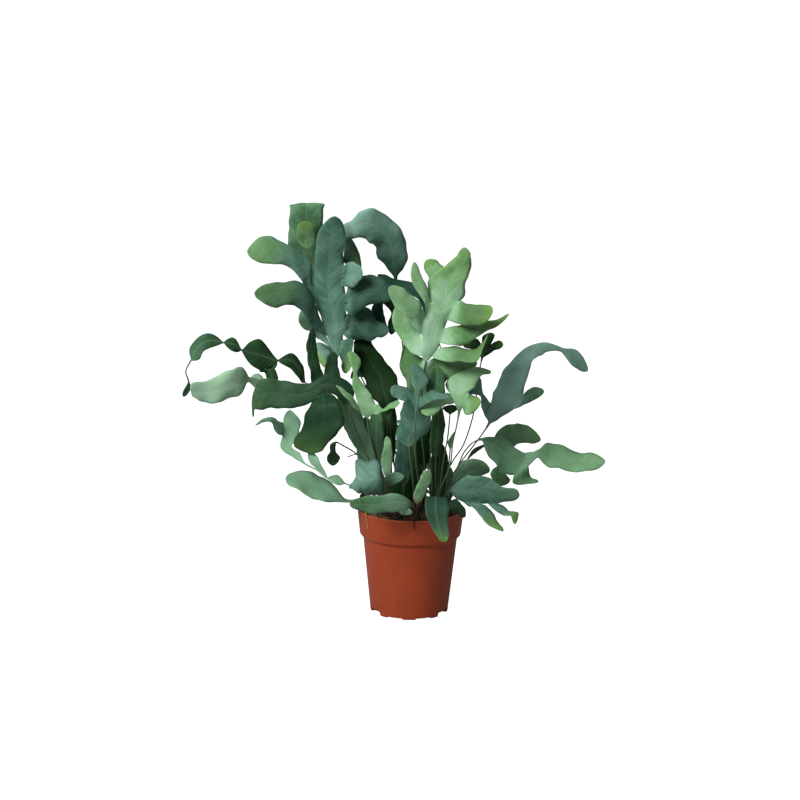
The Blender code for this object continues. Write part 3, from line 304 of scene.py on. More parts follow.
      (23, 97, 43, 97, -68, 3), (29, 87, 43, 86, -68, 3), (32, 83, 42, 82, -68, 2), (37, 79, -67)), ()),
    ("frond_fold_front", BLUE, (-20, -34),
     ((-31, 149, -58), (-33, 134, -36, 172, -60, 6, -10), (-47, 130, -50, 173, -64, 8, -12),
      (-56, 132, -62, 171, -66, 6, -10), (-62, 136, -62, 155, -68, 3, -4), (-66, 139, -66, 146, -69, 1),
      (-70, 141, -70)), ()),
    ("frond_low_front", GREEN, (-11, -42),
     ((2, 122, -60), (-20, 113, -19, 134, -70, -4), (-40, 110, -42, 131, -74, -4),
      (-55, 113, -56, 129, -76, -4), (-69, 121, -76)), ()),
    ("frond_rounded", FRESH, (8, -47),
     ((7, 122, -54), (3, 134, 16, 134, -57, 3), (10, 152, 23, 151, -59, 3), (19, 162, -58)), ()),
    ("young_teal_left", BLUE, (-35, -37),
     ((-33, 145, -46), (-23, 143, -24, 158, -43, 4), (-8, 154, -42)), ()),
    ("young_rim", GREEN, (-13, -45), ((-14, 114, -56), (-8, 119, -8, 109, -60, 4), (2, 113, -62)), ()),
    ("young_pale_narrow", FRESH, (-22, -22),
     ((-27, 150, -35), (-34, 172, -21, 172, -36, 3), (-31, 190, -23, 192, -35, 3), (-28, 200, -33)), ()),
    ("young_upright_a", GREEN, (-34, -3),
     ((-42, 160, -14), (-64, 188, -44, 190, -15, 5), (-75, 206, -53, 212, -16, 5),
      (-81, 227, -60, 232, -18, 5), (-80, 247, -20)), ()),
    ("young_upright_b", LEAF_IN_SHADE, (-20, 4),
     ((-36, 170, -8), (-48, 194, -31, 194, -8, 5), (-48, 214, -32, 214, -8, 5), (-40, 231, -6)), ()),
    ("young_upright_c", BLUE, (-12, -26),
     ((-8, 142, -38), (-19, 162, 0, 162, -38, 4), (-17, 184, -1, 184, -37, 4), (-14, 200, -5, 200, -36, 4),
      (-10, 214, -34)), ()),
    ("young_upright_d", LEAF_IN_SHADE, (6, -8),
     ((13, 160, -12), (5, 182, 21, 182, -12, 5), (5, 206, 21, 206, -12, 5), (14, 228, -10)), ()),
    ("young_upright_e", LEAF_IN_SHADE, (28, -10),
     ((29, 124, -12), (20, 136, 40, 136, -12, 4), (21, 166, 42, 164, -14, 5), (22, 182, 40, 180, -14, 5),
      (29, 197, -14)), ()),
    ("young_olive", FRESH, (38, -22), ((43, 186, -30), (40, 194, 47, 197, -30, 2), (48, 207, -30)), ()),
    ("young_right_a", GREEN, (46, -20),
     ((47, 144, -26), (54, 168, 60, 148, -30, 6), (68, 176, 74, 153, -34, 6), (88, 164, -36)), ()),
    ("young_olive_low", GREEN, (-25, -3),
     ((-37, 150, -4), (-60, 173, -38, 172, -6, 6), (-62, 194, -42, 196, -6, 4), (-52, 222, -4)), ()),
    ("young_upright_f", LEAF_IN_SHADE, (-14, 14),
     ((-20, 170, 18), (-36, 200, -18, 200, 18, 4), (-38, 222, -17, 224, 16, 4), (-31, 242, 16)), ()),
    ("young_upright_g", LEAF_IN_SHADE, (-2, 2),
     ((-1, 128, 4), (-11, 150, 12, 150, 4, 4), (-9, 184, 12, 184, 6, 4), (0, 208, 8)), ()),
    ("young_upright_h", GREEN, (38, 0),
     ((42, 126, -1), (34, 142, 50, 141, -1, 3), (37, 154, 48, 153, -1, 3), (43, 166, -1)), ()),
    ("young_rim_right", GREEN, (48, -25),
     ((43, 124, -34), (51, 129, 45, 116, -40, 4), (59, 121, 54, 110, -42, 4), (62, 109, -42)), ()),
    ("young_right_b", LEAF_IN_SHADE, (44, 8), ((62, 174, 6), (70, 181, 68, 186, 6, 3), (84, 193, 4)), ()),
    ("young_shaded", LEAF_IN_SHADE, (32, -30),
     ((37, 182, -38), (40, 200, -42, 1.1), (42, 226, -48, 1.2), (34, 232, 51, 232, -51, 3),
      (44, 237, -54)), ()),
    ("young_dark_rim", LEAF_IN_SHADE, (-28, 9),
     ((-28, 120, 7), (-36, 130, -21, 131, 7, 3), (-36, 142, -21, 143, 7, 3), (-29, 153, 7)), ()),
    ("young_upright_i", LEAF_IN_SHADE, (29, -16),
     ((27, 176, -19), (20, 194, 35, 194, -20, 4), (21, 214, 37, 213, -21, 4), (29, 238, -22)), ()),
    ("young_dark_low", LEAF_IN_SHADE, (-9, -14),
     ((-8, 122, -11), (-22, 136, 3, 137, -11, 3), (-22, 152, 2, 153, -10, 3), (-10, 167, -9)), ()),
    ("young_bright_tip", FRESH, (-6, 16),
     ((-92, 340, 28), (-106, 384, 34, 1.2), (-118, 408, 36, 1.2), (-129, 418, -109, 417, 38, 3),
      (-130, 428, -108, 428, 38, 3), (-121, 439, 37)), ()),
)

# Fronds of the far side: name, colour, foot (across, back), heading in degrees from straight
# right, reach and height of the crest, droop of the tip, lobe length, pairs of lobes.
FRONDS_FAR = (
    ("far_a", GREEN, (-10, 38), 97, 125, 205, 56, 37, 3),
    ("far_b", BLUE, (-24, 36), 103, 92, 165, 44, 28, 2),
    ("far_c", GREEN, (8, 38), 80, 105, 152, 34, 32, 3),
    ("far_d", BLUE, (24, 36), 64, 72, 137, 26, 25, 2),
    ("far_e", LEAF_IN_SHADE, (-31, 28), 118, 54, 140, 24, 22, 2),
    ("far_f", FRESH, (-1, 41), 91, 56, 133, 34, 24, 2),
    ("far_g", BLUE, (-14, 26), 152, 100, 365, 10, 36, 3),
)

# How each frond looks: lightness of the blade from -1.2 to 1.2, or a pair from its foot end to its tip,
# partly the blade's own colour and partly painted light and shade: low values paint shade on blades and
# lobes that lie in shade, high ones paint light on those that look lit; then how yellow-green its tip
# is, from 0 to 1; then both again for each lobe, as a pair, in the order of the tables. Missing lobes
# are as the blade.
TONES_AND_PAINTED_LIGHT = {
    "frond_crown": ((0.5, -0.5), 0.0, (0.5, 1.0), (0.2, 0.4), (-0.8, 0.3), (-0.25, 0.5), (-0.7, 0.6),
                    (-0.95, 0.0), (-0.95, 0.0), (0.5, 0.0), (-0.9, 0.5)),
    "frond_arch": ((-1.15, 1.0), 0.0),
    "frond_folded": (0.0, 0.35),
    "frond_between": (-1.15, 0.0),
    "frond_light": ((0.8, 0.0), 0.45, (-0.7, 0.3), (-0.1, 0.3), (-0.8, 0.5), (0.2, 0.3), (-0.9, 0.6),
                    (0.2, 0.4), (-0.3, 0.8), (-0.95, 0.0), (-0.6, 0.0)),
    "frond_shaded": (-0.5, 0.3),
    "frond_dark_left": ((-1.2, -0.85), 0.1, (-1.1, 0.0), (-1.15, 0.2), (-1.1, 0.0)),
    "frond_dark_middle": (-1.15, 0.0),
    "frond_chain": ((-0.7, 0.6), 0.0),
    "frond_pale": ((0.5, 1.2), 0.15),
    "frond_curled": (1.0, 0.0),
    "frond_low_left": (0.9, 0.1),
    "frond_teal": (-0.45, 0.0),
    "frond_teal_low": (-0.45, 0.0),
    "frond_rounded": (-0.1, 0.2),
    "frond_far_right": ((0.3, 0.5), 0.2, (0.0, 0.3), (-0.2, 0.1), (-0.2, 0.1)),
    "frond_right": ((1.2, 0.3), 0.05, (0.1, 0.0), (-0.4, 0.2)),
    "frond_low_right": (-0.25, 0.2, (-0.5, 0.7), (-0.5, 0.7)),
    "frond_over_rim": ((-1.15, -0.3), 1.0),
    "frond_fold_front": (0.0, 0.0),
    "frond_low_front": ((0.6, -0.2), 0.0),
    "frond_pale_middle": (-0.1, 0.15),
    "frond_bright": (0.2, 0.5, (0.2, 0.2), (0.0, 0.7)),
    "young_shaded": (-0.8, 0.0),
    "young_bright_tip": (-0.6, 1.0),
    "young_rim": (0.5, 0.0),
    "young_rim_right": (-1.1, 0.0),
    "young_olive_low": (0.8, 0.4),
    "young_upright_b": (0.4, 0.3),
    "young_upright_c": (-0.9, 0.0),
    "young_upright_d": (-1.15, 0.0),
    "young_upright_e": (-0.6, 0.0),
    "young_dark_low": (-1.15, 0.0),
    "young_right_a": (0.7, 0.2),
    "young_upright_a": (0.9, 0.5),
}


def smooth(x):
    """0 below 0, 1 above 1, and an even S between."""
    x = np.clip(x, 0.0, 1.0)
    return x * x * (3 - 2 * x)


def unit(vector):
    """The vector divided by its length."""
    length = np.linalg.norm(vector, axis=-1, keepdims=True)
    return vector / np.maximum(length, 1e-9)


def noise(points, wavelength, seed):
    """Soft random field from -1 to 1: sines along seeded directions, in three octaves, each half as long."""
    rng = np.random.default_rng(seed)
    total = np.zeros(points.shape[:-1])
    weight = 1.0
    for octave in range(3):
        for _ in range(4):
            way = unit(rng.normal(size=points.shape[-1]))
            long = wavelength * rng.uniform(0.75, 1.3) / 2**octave
            total += weight * np.sin(points @ way * (2 * math.pi / long) + rng.uniform(0, 6.3))
        weight *= 0.55
    return np.clip(total / 4.2, -1.0, 1.0)


def relief(across, up):
    """How far the plant bulges backwards at a place of the upright plane, in millimetres: two long
    sines, faded in above the rim.
    """
    rise = float(smooth((up - 125.0) / 70.0))
    broad = 24 * math.sin(across / 55 + 0.6) * math.cos(up / 75)
    return rise * (broad + 15 * math.sin(up / 42 + across / 85))


def world(across, up, back):
    """The point, in metres, on the line of sight through (across, up) at the table's depth back."""
    back = DEPTH_SPREAD * back + relief(across, up)
    eye = np.array(VIEW_FROM)
    flat = np.array((across, 0.0, up))
    return (eye + (flat - eye) * (back - eye[1]) / (0.0 - eye[1])) * 0.001


def slopes(knots, values, flat):
    """Slopes of a smooth curve through values. With flat, no overshoot between the knots."""
    step = np.diff(knots)[:, None]
    secant = np.diff(values, axis=0) / step
    inner = (secant[:-1] * step[1:] + secant[1:] * step[:-1]) / (step[1:] + step[:-1])
    if flat:
        low = np.minimum(np.abs(secant[:-1]), np.abs(secant[1:]))
        same = np.sign(secant[:-1]) == np.sign(secant[1:])
        inner = np.where(same, np.sign(inner) * np.minimum(np.abs(inner), 2.2 * low), 0.0)
    return np.concatenate([secant[:1], inner, secant[-1:]])


def curve(knots, values, at, flat=False):
    """Cubic curve through values at the knots, read at the parameters at."""
    slope = slopes(knots, values, flat)
    i = np.clip(np.searchsorted(knots, at, side="right") - 1, 0, len(knots) - 2)
    step = (knots[i + 1] - knots[i])[:, None]
    t = (at - knots[i])[:, None] / step
    return (
        (2 * t**3 - 3 * t**2 + 1) * values[i]
        + (t**3 - 2 * t**2 + t) * step * slope[i]
        + (3 * t**2 - 2 * t**3) * values[i + 1]
        + (t**3 - t**2) * step * slope[i + 1]
    )


def station(entry):
    """Centre, half vector to the right edge (or its length) and fold vector of a table entry."""
    if len(entry) == 3:
        return world(*entry), WING, np.zeros(3)
    if len(entry) == 4:
        return world(*entry[:3]), entry[3] * 0.001, np.zeros(3)
    xl, zl, xr, zr, back, slant = entry[:6]
    left = world(xl, zl, back - slant / 2)
    right = world(xr, zr, back + slant / 2)
    fold = np.array((0.0, entry[6] * 0.001, 0.0)) if len(entry) > 6 else np.zeros(3)
    return (left + right) / 2, (right - left) / 2, fold


def soil_height(radius):
    """Height of the soil at a distance from the axis: a parabola, highest in the middle."""
    share = np.minimum(1.0, radius / (RIM_RADIUS - 0.004))
    return SOIL_MIDDLE + (SOIL_EDGE - SOIL_MIDDLE) * share**2


def stem_points(foot, base, heading):
    """Points of the bare stipe from the soil to the blade: a cubic that starts upright and ends along
    the blade's heading.
    """
    start = np.array((foot[0], foot[1], soil_height(math.hypot(*foot)) + 2 * GAP))
    reach = np.linalg.norm(base - start)
    first = start + np.array((0.0, 0.0, 0.36 * reach))
    second = base - heading * 0.30 * reach
    t = np.array((0.0, 0.3, 0.62))[:, None]
    return (1 - t) ** 3 * start + 3 * (1 - t) ** 2 * t * first + 3 * (1 - t) * t**2 * second + t**3 * base


def carried(given, along, facing):
    """Half vectors of all stations. A plain length takes its direction from the next full vector."""
    halves = [None] * len(given)
    side = None
    for i in reversed(range(len(given))):
        if np.ndim(given[i]):
            side = unit(given[i])
            halves[i] = given[i]
            continue
        if side is None:
            side = np.cross(along[i], facing)
        side = unit(side - along[i] * np.dot(side, along[i]))
        halves[i] = side * given[i]
    return halves


def table_frond(entry):
    """Stations, tip and lobes of an entry of FRONDS, as points in metres."""
    _, _, foot, ribs, lobes = entry
    stations = [station(rib) for rib in ribs[:-1]]
    made = []
    for side, knot, spans, end in lobes:
        made.append((side, knot, [station(span) for span in spans], world(*end)))
    facing = unit(np.array((0.0, -1.0, 0.28)))
    return (foot[0] * 0.001, foot[1] * 0.001), stations, world(*ribs[-1]), made, facing


def far_frond(entry):
    """Stations, tip and lobes of an arching frond of the far side.

    The rachis runs straight out, swayed aside by a sine, and rises as a parabola to the crest, from which
    it droops as a second one. Lobes leave it in turn on both sides, longest near two fifths of its length.
    """
    name, _, foot, degrees, reach, crest, droop, size, pairs = entry
    feet = np.array((foot[0], foot[1], 0.0)) * 0.001
    out = np.array((math.cos(math.radians(degrees)), math.sin(math.radians(degrees)), 0.0))
    aside = np.array((out[1], -out[0], 0.0))
    up = np.array((0.0, 0.0, 1.0))
    wave = sum(ord(letter) for letter in name)
    count = 2 * pairs + 2

    def rib(share):
        """Point of the rachis at a share of its length."""
        rise = 112 + (crest - 112) * (1 - 0.5 * (1 - share) ** 2) - droop * max(0.0, share - 0.35) ** 2 * 2.2
        sway = 9 * math.sin(wave + 2.2 * share)
        return feet + (out * reach * (0.35 + 0.65 * share) + aside * sway + up * rise) * 0.001

    stations = [(rib(i / count), WING, np.zeros(3)) for i in range(count)]
    tangent = unit(rib(1.0) - rib(0.86))
    width = 0.30 * size * 0.001
    stations.append((rib(1.0) + tangent * size * 0.0003, aside * width, np.zeros(3)))
    tip = rib(1.0) + tangent * size * 0.0008 - up * 0.004
    lobes = []
    for i in range(2 * pairs):
        share = (i + 1) / count
        hand = 1.0 if i % 2 else -1.0
        along = unit(rib(min(1.0, share + 0.1)) - rib(share))
        length = size * (1.05 - 0.45 * abs(share - 0.4)) * (1 + 0.1 * math.sin(wave + 3 * i)) * 0.001
        lean = 0.30 * math.sin(wave * 1.3 + 2 * i) - 0.10
        away = unit(along * 0.42 + aside * hand + up * lean)
        flat = unit(along - away * np.dot(along, away))
        middle = rib(share) + away * length * 0.56
        end = rib(share) + away * length - up * length * 0.18
        lobes.append(("R" if i % 2 else "L", i + 1, [(middle, flat * 0.21 * length, np.zeros(3))], end))
    facing = unit(np.cross(aside, unit(rib(0.5) - rib(0.3))))
    return (feet[0], feet[1]), stations, tip, lobes, facing


def rows_of(count, extra=1):
    """Knot parameter of each row: CELLS rows to a knot, and rounder spacing before the tip."""
    body = np.linspace(0, count - 2, (count - 2) * CELLS * extra + 1)
    last = count - 2 + np.sin(np.linspace(0, math.pi / 2, CELLS * extra + 1))[1:]
    return np.concatenate([body, last])


def strip(centres, halves, folds, rows, columns, bare, calm, hand, seed):
    """Surface of one blade: centre curve + across * half width vector, as a grid of rows and columns.

    Columns crowd towards the rib where the blade is wide and towards the edges on a bare stalk. The
    half width follows a smooth curve through the stations, closes like an ellipse at the tip and
    swells and shrinks slowly along the margin. Along the normal each half of the blade is arched, the
    margin droops a little and ripples as a sine. bare and calm fade these out, row by row.
    Returns the points and their place on the flat blade, across and along, in millimetres.
    """
    count = len(centres)
    knots = np.concatenate([[0.0], np.cumsum(np.linalg.norm(np.diff(centres, axis=0), axis=1))])
    at = np.interp(rows, np.arange(count), knots)
    middle = curve(knots, centres, at)
    inner = np.minimum(at, knots[-2])
    half = curve(knots[:-1], halves[:-1], inner, True)
    square = curve(knots[:-1], np.sum(halves[:-1] ** 2, axis=1)[:, None], inner, True)
    half = unit(half) * np.sqrt(np.maximum(square, 0.0))
    fold = curve(knots, folds, at, True)
    share = np.clip(rows - (count - 2), 0, 1)
    half = half * ((1 - share**1.85) ** 0.6125)[:, None]
    width = np.linalg.norm(half, axis=1)
    place = np.linspace(-1, 1, columns)[None]
    step = 2.0 / (columns - 1)
    first = np.minimum(0.0005 / np.maximum(width, 1e-5), step)
    even = np.clip((first - step**2) / (step - step**2), 0.12, 1)[:, None]
    blade = place * even + place * np.abs(place) * (1 - even)
    across = (1 - bare[:, None]) * blade + bare[:, None] * np.sin(place * math.pi / 2)
    wave = np.clip(2.3 * width.max(), 0.013, 0.034)
    turn = at[:, None] * (2 * math.pi / wave) + seed + 1.9 * (place > 0)
    edge = np.abs(across) ** 1.6
    sway = 0.035 * np.sin(0.9 * turn + 1.3 * seed) + 0.02 * np.sin(2.2 * turn + 2.1 * seed)
    sway = 1 + calm[:, None] * edge * sway
    u = (across * sway)[..., None]
    points = middle[:, None] + u * half[:, None] + (1 - np.abs(across[..., None]) ** 1.5) * fold[:, None]
    side = np.gradient(points, axis=1)
    onward = np.gradient(points, axis=0)
    normal = unit(np.cross(side, onward)) * hand
    normal[-1] = normal[-2]
    reach = np.abs(across)
    lift = ARCH * reach * (1 - reach) - DROOP * edge + RIPPLE * edge * np.sin(turn)
    lift = np.clip(lift * width[:, None], -MOST_LIFT, MOST_LIFT) * calm[:, None]
    points = points + normal * lift[..., None]
    plan = np.stack([across * width[:, None], np.broadcast_to(at[:, None], across.shape)], -1) * 1000
    return points, plan


def cells(index):
    """Quads of a grid of vertex numbers."""
    return np.stack([index[:-1, :-1], index[:-1, 1:], index[1:, 1:], index[1:, :-1]], -1).reshape(-1, 4)


def corners(plan):
    """The plan's places at the corners of the same quads."""
    grid = [plan[:-1, :-1], plan[:-1, 1:], plan[1:, 1:], plan[1:, :-1]]
    return np.stack(grid, 2).reshape(-1, 4, 2)


class Leaf:
    """Middle surface of a frond, gathered grid by grid, with its ribs as rows of points."""

    def __init__(self):
        self.points = np.zeros((0, 3))
        self.bare = np.zeros(0)
        self.tone = np.zeros(0)
        self.fresh = np.zeros(0)
        self.quads = []
        self.quad_plan = []
        self.fans = []
        self.fan_plan = []
        self.ribs = []

    def add(self, points, bare, tone, fresh):
        """Takes in points with their values, and returns their numbers."""
        first = len(self.points)
        self.points = np.concatenate([self.points, points.reshape(-1, 3)])
        shape = points.shape[:-1]
        self.bare = np.concatenate([self.bare, np.broadcast_to(bare, shape).ravel()])
        self.tone = np.concatenate([self.tone, np.broadcast_to(tone, shape).ravel()])
        self.fresh = np.concatenate([self.fresh, np.broadcast_to(fresh, shape).ravel()])
        return np.arange(first, len(self.points)).reshape(shape)

    def cover(self, index, plan, tip, tip_plan, flip):
        """Faces of a grid whose last row closes in a fan round the tip."""
        quads = cells(index)
        places = corners(plan)
        row = index[-1]
        fans = np.stack([row[:-1], row[1:], np.full(len(row) - 1, tip)], -1)
        ends = np.broadcast_to(tip_plan, (len(row) - 1, 2))
        fan_places = np.stack([plan[-1][:-1], plan[-1][1:], ends], 1)
        order = slice(None, None, -1) if flip else slice(None)
        self.quads.append(quads[:, order])
        self.quad_plan.append(places[:, order])
        self.fans.append(fans[:, order])
        self.fan_plan.append(fan_places[:, order])

    def rib(self, points, width):
        """Takes in a rib's points, each with the rib's width there."""
        width = np.broadcast_to(width, (len(points),))
        self.ribs.append(np.concatenate([points, width[:, None]], 1))


def add_lobe(leaf, base, stations, tip, side, looks, seed, rachis):
    """One lobe: a blade that starts on the points base of its parent's edge, with a rib to the rachis.

    Its first rows are pulled onto those points, and its lightness, painted light and shade included, starts
    as theirs.
    """
    here = leaf.points[base]
    centres = np.array([here[len(here) // 2], *[s[0] for s in stations], tip])
    halves = np.array([(here[-1] - here[0]) / 2, *[s[1] for s in stations], np.zeros(3)])
    folds = np.array([np.zeros(3), *[s[2] for s in stations], np.zeros(3)])
    rows = rows_of(len(centres), 2)
    calm = smooth(rows / 0.9)
    hand = -1.0 if side == "R" else 1.0
    bare = np.zeros(len(rows))
    grid, plan = strip(centres, halves, folds, rows, len(base), bare, calm, hand, seed)
    lack = here - grid[0]
    grid = grid + lack[None] * np.clip(1 - rows / 0.8, 0, 1)[:, None, None] ** 1.5
    share = rows / rows[-1]
    tone, fresh = looks
    blend = smooth(share * 3)[:, None]
    tones_and_painted_light = leaf.tone[base][None] * (1 - blend) + tone * blend
    freshness = leaf.fresh[base][None] * (1 - blend) + fresh * smooth(share * 1.5 - 0.5)[:, None]
    index = np.concatenate([base[None], leaf.add(grid[1:-1], 0.0, tones_and_painted_light[1:-1], freshness[1:-1])])
    end = leaf.add(grid[-1][:1], 0.0, tone, fresh)[0]
    leaf.cover(index, plan[:-1], end, plan[-1][0], side == "R")
    ribs = grid[:, len(base) // 2]
    leaf.rib(ribs, LOBE_RIB_RADIUS * np.clip(1.1 - share, 0.25, 1))
    way = np.linspace(0, 1, 24)[:, None]
    leaf.rib(rachis * (1 - way) + ribs[0] * way, LOBE_RIB_RADIUS)


def leading(stations):
    """How many stations after the first still belong to the bare stipe."""
    count = 0
    for _, half, _ in stations[1:]:
        if np.ndim(half) or half > BARE:
            break
        count += 1
    return count


def frond_surface(name, foot, stations, tip, lobes, facing):
    """The middle surface of a whole frond: one ribbon from its foot to its tip, and a lobe for each entry
    that starts on the ribbon's edge.
    """
    looks = TONES_AND_PAINTED_LIGHT.get(name, ())
    seed = sum(ord(letter) * (place + 3) for place, letter in enumerate(name)) % 97 * 0.37
    tone = looks[0] if looks else 0.25 * math.sin(seed * 7)
    first_tone_and_painted_light, last_tone_and_painted_light = tone if isinstance(tone, tuple) else (tone, tone)
    fresh = looks[1] if looks else 0.15
    centres = [s[0] for s in stations]
    heading = unit(centres[1] - centres[0])
    stem = stem_points(foot, centres[0], heading)
    count = len(stem)
    middle = np.array([*stem, *centres, tip])
    along = unit(np.gradient(middle, axis=0))
    lead = leading(stations)
    given = [STIPE_WIDE] * count + [STIPE_NARROW * 1.2] * (lead + 1)
    given += [s[1] for s in stations[lead + 1 :]] + [0.0]
    halves = np.array(carried(given, along, facing))
    folds = np.array([np.zeros(3)] * count + [s[2] for s in stations] + [np.zeros(3)])
    rows = rows_of(len(middle))
    bare = np.clip((count + lead + 0.5 - rows) / 0.5, 0, 1)
    calm = smooth((rows - count - lead - 0.3) / 1.0)
    grid, plan = strip(middle, halves, folds, rows, COLUMNS, bare, calm, 1.0, seed)
    leaf = Leaf()
    share = np.clip((rows - count - lead) / (len(middle) - 1 - count - lead), 0, 1)
    freshness = fresh * smooth(share * 2.2 - 1.2)[:, None]
    tones_and_painted_light = first_tone_and_painted_light + (last_tone_and_painted_light - first_tone_and_painted_light) * smooth(share)[:, None]
    index = leaf.add(grid[:-1], bare[:-1, None], tones_and_painted_light[:-1], freshness[:-1])
    end = leaf.add(grid[-1][:1], 0.0, last_tone_and_painted_light, fresh)[0]
    leaf.cover(index, plan[:-1], end, plan[-1][0], False)
    core = COLUMNS // 2
    blade = rows > count
    leaf.rib(grid[blade, core], RACHIS_RADIUS * np.clip(1.05 - share[blade], 0.2, 1))
    for number, (side, knot, spans, end_point) in enumerate(lobes):
        first, last = knot if isinstance(knot, tuple) else (knot - 0.5, knot + 0.5)
        first, last = (int(round((count + k) * CELLS)) for k in (first, last))
        base = index[first : last + 1, -1 if side == "R" else 0]
        lobe_looks = looks[number + 2] if len(looks) > number + 2 else (leaf.tone[base].mean(), fresh)
        back = max(0, (first + last) // 2 - CELLS // 3)
        add_lobe(leaf, base, spans, end_point, side, lobe_looks, seed + 2.1 * number + 1, grid[back, core])
    return leaf


def nearest(points, marks, block=4096):
    """Distance from each point to its nearest mark, in units of the mark's own fourth number."""
    out = np.empty(len(points))
    for first in range(0, len(points), block):
        gap = np.linalg.norm(points[first : first + block, None] - marks[None, :, :3], axis=2)
        out[first : first + block] = (gap / marks[None, :, 3]).min(1)
    return out


def thickened(leaf):
    """Closed thin body: the surface moved to both sides along its normal, joined along its border.

    The half thickness is that of the blade, less at the margin, plus a ridge along each rib that falls
    off as a bell. On the bare stalk it follows the round of a circle instead.
    """
    points = leaf.points
    quads = np.concatenate(leaf.quads)
    fans = np.concatenate(leaf.fans)
    normal = np.zeros_like(points)
    turn = np.cross(points[quads[:, 2]] - points[quads[:, 0]], points[quads[:, 3]] - points[quads[:, 1]])
    np.add.at(normal, quads.ravel(), np.repeat(turn, 4, axis=0))
    turn = np.cross(points[fans[:, 1]] - points[fans[:, 0]], points[fans[:, 2]] - points[fans[:, 0]])
    np.add.at(normal, fans.ravel(), np.repeat(turn, 3, axis=0))
    normal = unit(normal)
    count = len(points)
    starts = np.concatenate([quads.ravel(), fans.ravel()])
    ends = np.concatenate([np.roll(quads, -1, 1).ravel(), np.roll(fans, -1, 1).ravel()])
    rim = ~np.isin(starts * count + ends, ends * count + starts)
    border = points[starts[rim]]
    margin = nearest(points, np.concatenate([border, np.full((len(border), 1), 0.001)], 1))
    rib = nearest(points, np.concatenate(leaf.ribs))
    rib_width = np.where(leaf.bare > 0, RACHIS_RADIUS, 0.0005)
    flat = MARGIN_HALF_THICKNESS + (BLADE_HALF_THICKNESS - MARGIN_HALF_THICKNESS) * smooth(margin / 1.5)
    ridge = 0.9 * rib_width * np.exp(-(rib**2)) * smooth(margin / 1.2 + 0.2)
    stalk = STIPE_WIDE * np.sqrt(np.clip(1 - (1 - margin / (STIPE_WIDE * 1000)) ** 2, 0.02, 1))
    half = leaf.bare * stalk + (1 - leaf.bare) * (flat + ridge)
    moved = normal * half[:, None]
    body = np.concatenate([points + moved, points - moved])
    a, b = starts[rim], ends[rim]
    walls = np.stack([b, a, a + count, b + count], -1)
    all_quads = np.concatenate([quads, quads[:, ::-1] + count, walls])
    all_fans = np.concatenate([fans, fans[:, ::-1] + count])
    quad_plan = np.concatenate(leaf.quad_plan)
    fan_plan = np.concatenate(leaf.fan_plan)
    wall_plan = np.zeros((len(walls), 4, 2))
    plans = [quad_plan, quad_plan[:, ::-1], wall_plan, fan_plan, fan_plan[:, ::-1]]
    marks = {
        "rib": np.tile(np.minimum(rib, 6), 2),
        "margin": np.tile(np.minimum(margin, 12), 2),
        "upper": np.repeat([1.0, 0.0], count),
        "stalk": np.tile(leaf.bare, 2),
        "tone": np.tile(leaf.tone, 2),
        "fresh": np.tile(leaf.fresh, 2),
    }
    return body, all_quads, all_fans, np.concatenate([plan.reshape(-1, 2) for plan in plans]), marks


def placed(name, data):
    """Links a new object into the scene."""
    made = bpy.data.objects.new(name, data)
    bpy.context.scene.collection.objects.link(made)
    return made


def piece(name, surface, look, node, plan=None, marks=None):
    """Puts a surface (points, quads, triangles) into a smooth mesh that rides on the plant's one body."""
    points, quads, triangles = surface
    mesh = bpy.data.meshes.new(name)
    mesh.vertices.add(len(points))
    mesh.vertices.foreach_set("co", np.ascontiguousarray(points, dtype=np.float32).ravel())
    loops = np.concatenate([np.ravel(quads), np.ravel(triangles)]).astype(np.int32)
    mesh.loops.add(len(loops))
    mesh.loops.foreach_set("vertex_index", loops)
    sizes = np.concatenate([np.full(len(quads), 4), np.full(len(triangles), 3)])
    starts = np.concatenate([[0], np.cumsum(sizes)[:-1]]).astype(np.int32)
    mesh.polygons.add(len(sizes))
    mesh.polygons.foreach_set("loop_start", starts)
    mesh.polygons.foreach_set("use_smooth", np.ones(len(sizes), dtype=bool))
    mesh.update(calc_edges=True)
    if plan is not None:
        layer = mesh.uv_layers.new(name="blade_plan")
        layer.data.foreach_set("uv", np.ascontiguousarray(plan, dtype=np.float32).ravel())
    for label, values in (marks or {}).items():
        attribute = mesh.attributes.new(label, "FLOAT", "POINT")
        attribute.data.foreach_set("value", np.ascontiguousarray(values, dtype=np.float32))
    mesh.materials.append(look)
    made = placed(name, mesh)
    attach(made, "root")
    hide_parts(node)


def turned(radius, angle, height):
    """Points at a distance and angle from the upright axis, at a height."""
    return np.stack(np.broadcast_arrays(radius * np.cos(angle), radius * np.sin(angle), height), -1)


def closed(rings, start, end):
    """Surface of a row of rings, joined one to the next and closed by a pole at each end."""
    rows, sides = rings.shape[:2]
    points = np.concatenate([rings.reshape(-1, 3), [start], [end]])
    index = np.arange(rows * sides).reshape(rows, sides)
    index = np.concatenate([index, index[:, :1]], 1)
    pole = np.full(sides, rows * sides)
    first = np.stack([index[0, 1:], index[0, :-1], pole], -1)
    last = np.stack([index[-1, :-1], index[-1, 1:], pole + 1], -1)
    return points, cells(index), np.concatenate([first, last])


def lathe(radii, heights, segments, lift):
    """Surface turned about the upright axis: each profile point becomes a ring of segments points.

    The first and last point are the poles. lift(angle, radius, height) raises each point.
    """
    angle = np.linspace(0, 2 * math.pi, segments, endpoint=False)[None]
    radius = np.asarray(radii)[1:-1, None]
    height = np.broadcast_to(np.asarray(heights)[1:-1, None], (len(radii) - 2, segments))
    rings = turned(radius, angle, height + lift(angle, radius, height))
    return closed(rings, (0, 0, heights[0]), (0, 0, heights[-1]))


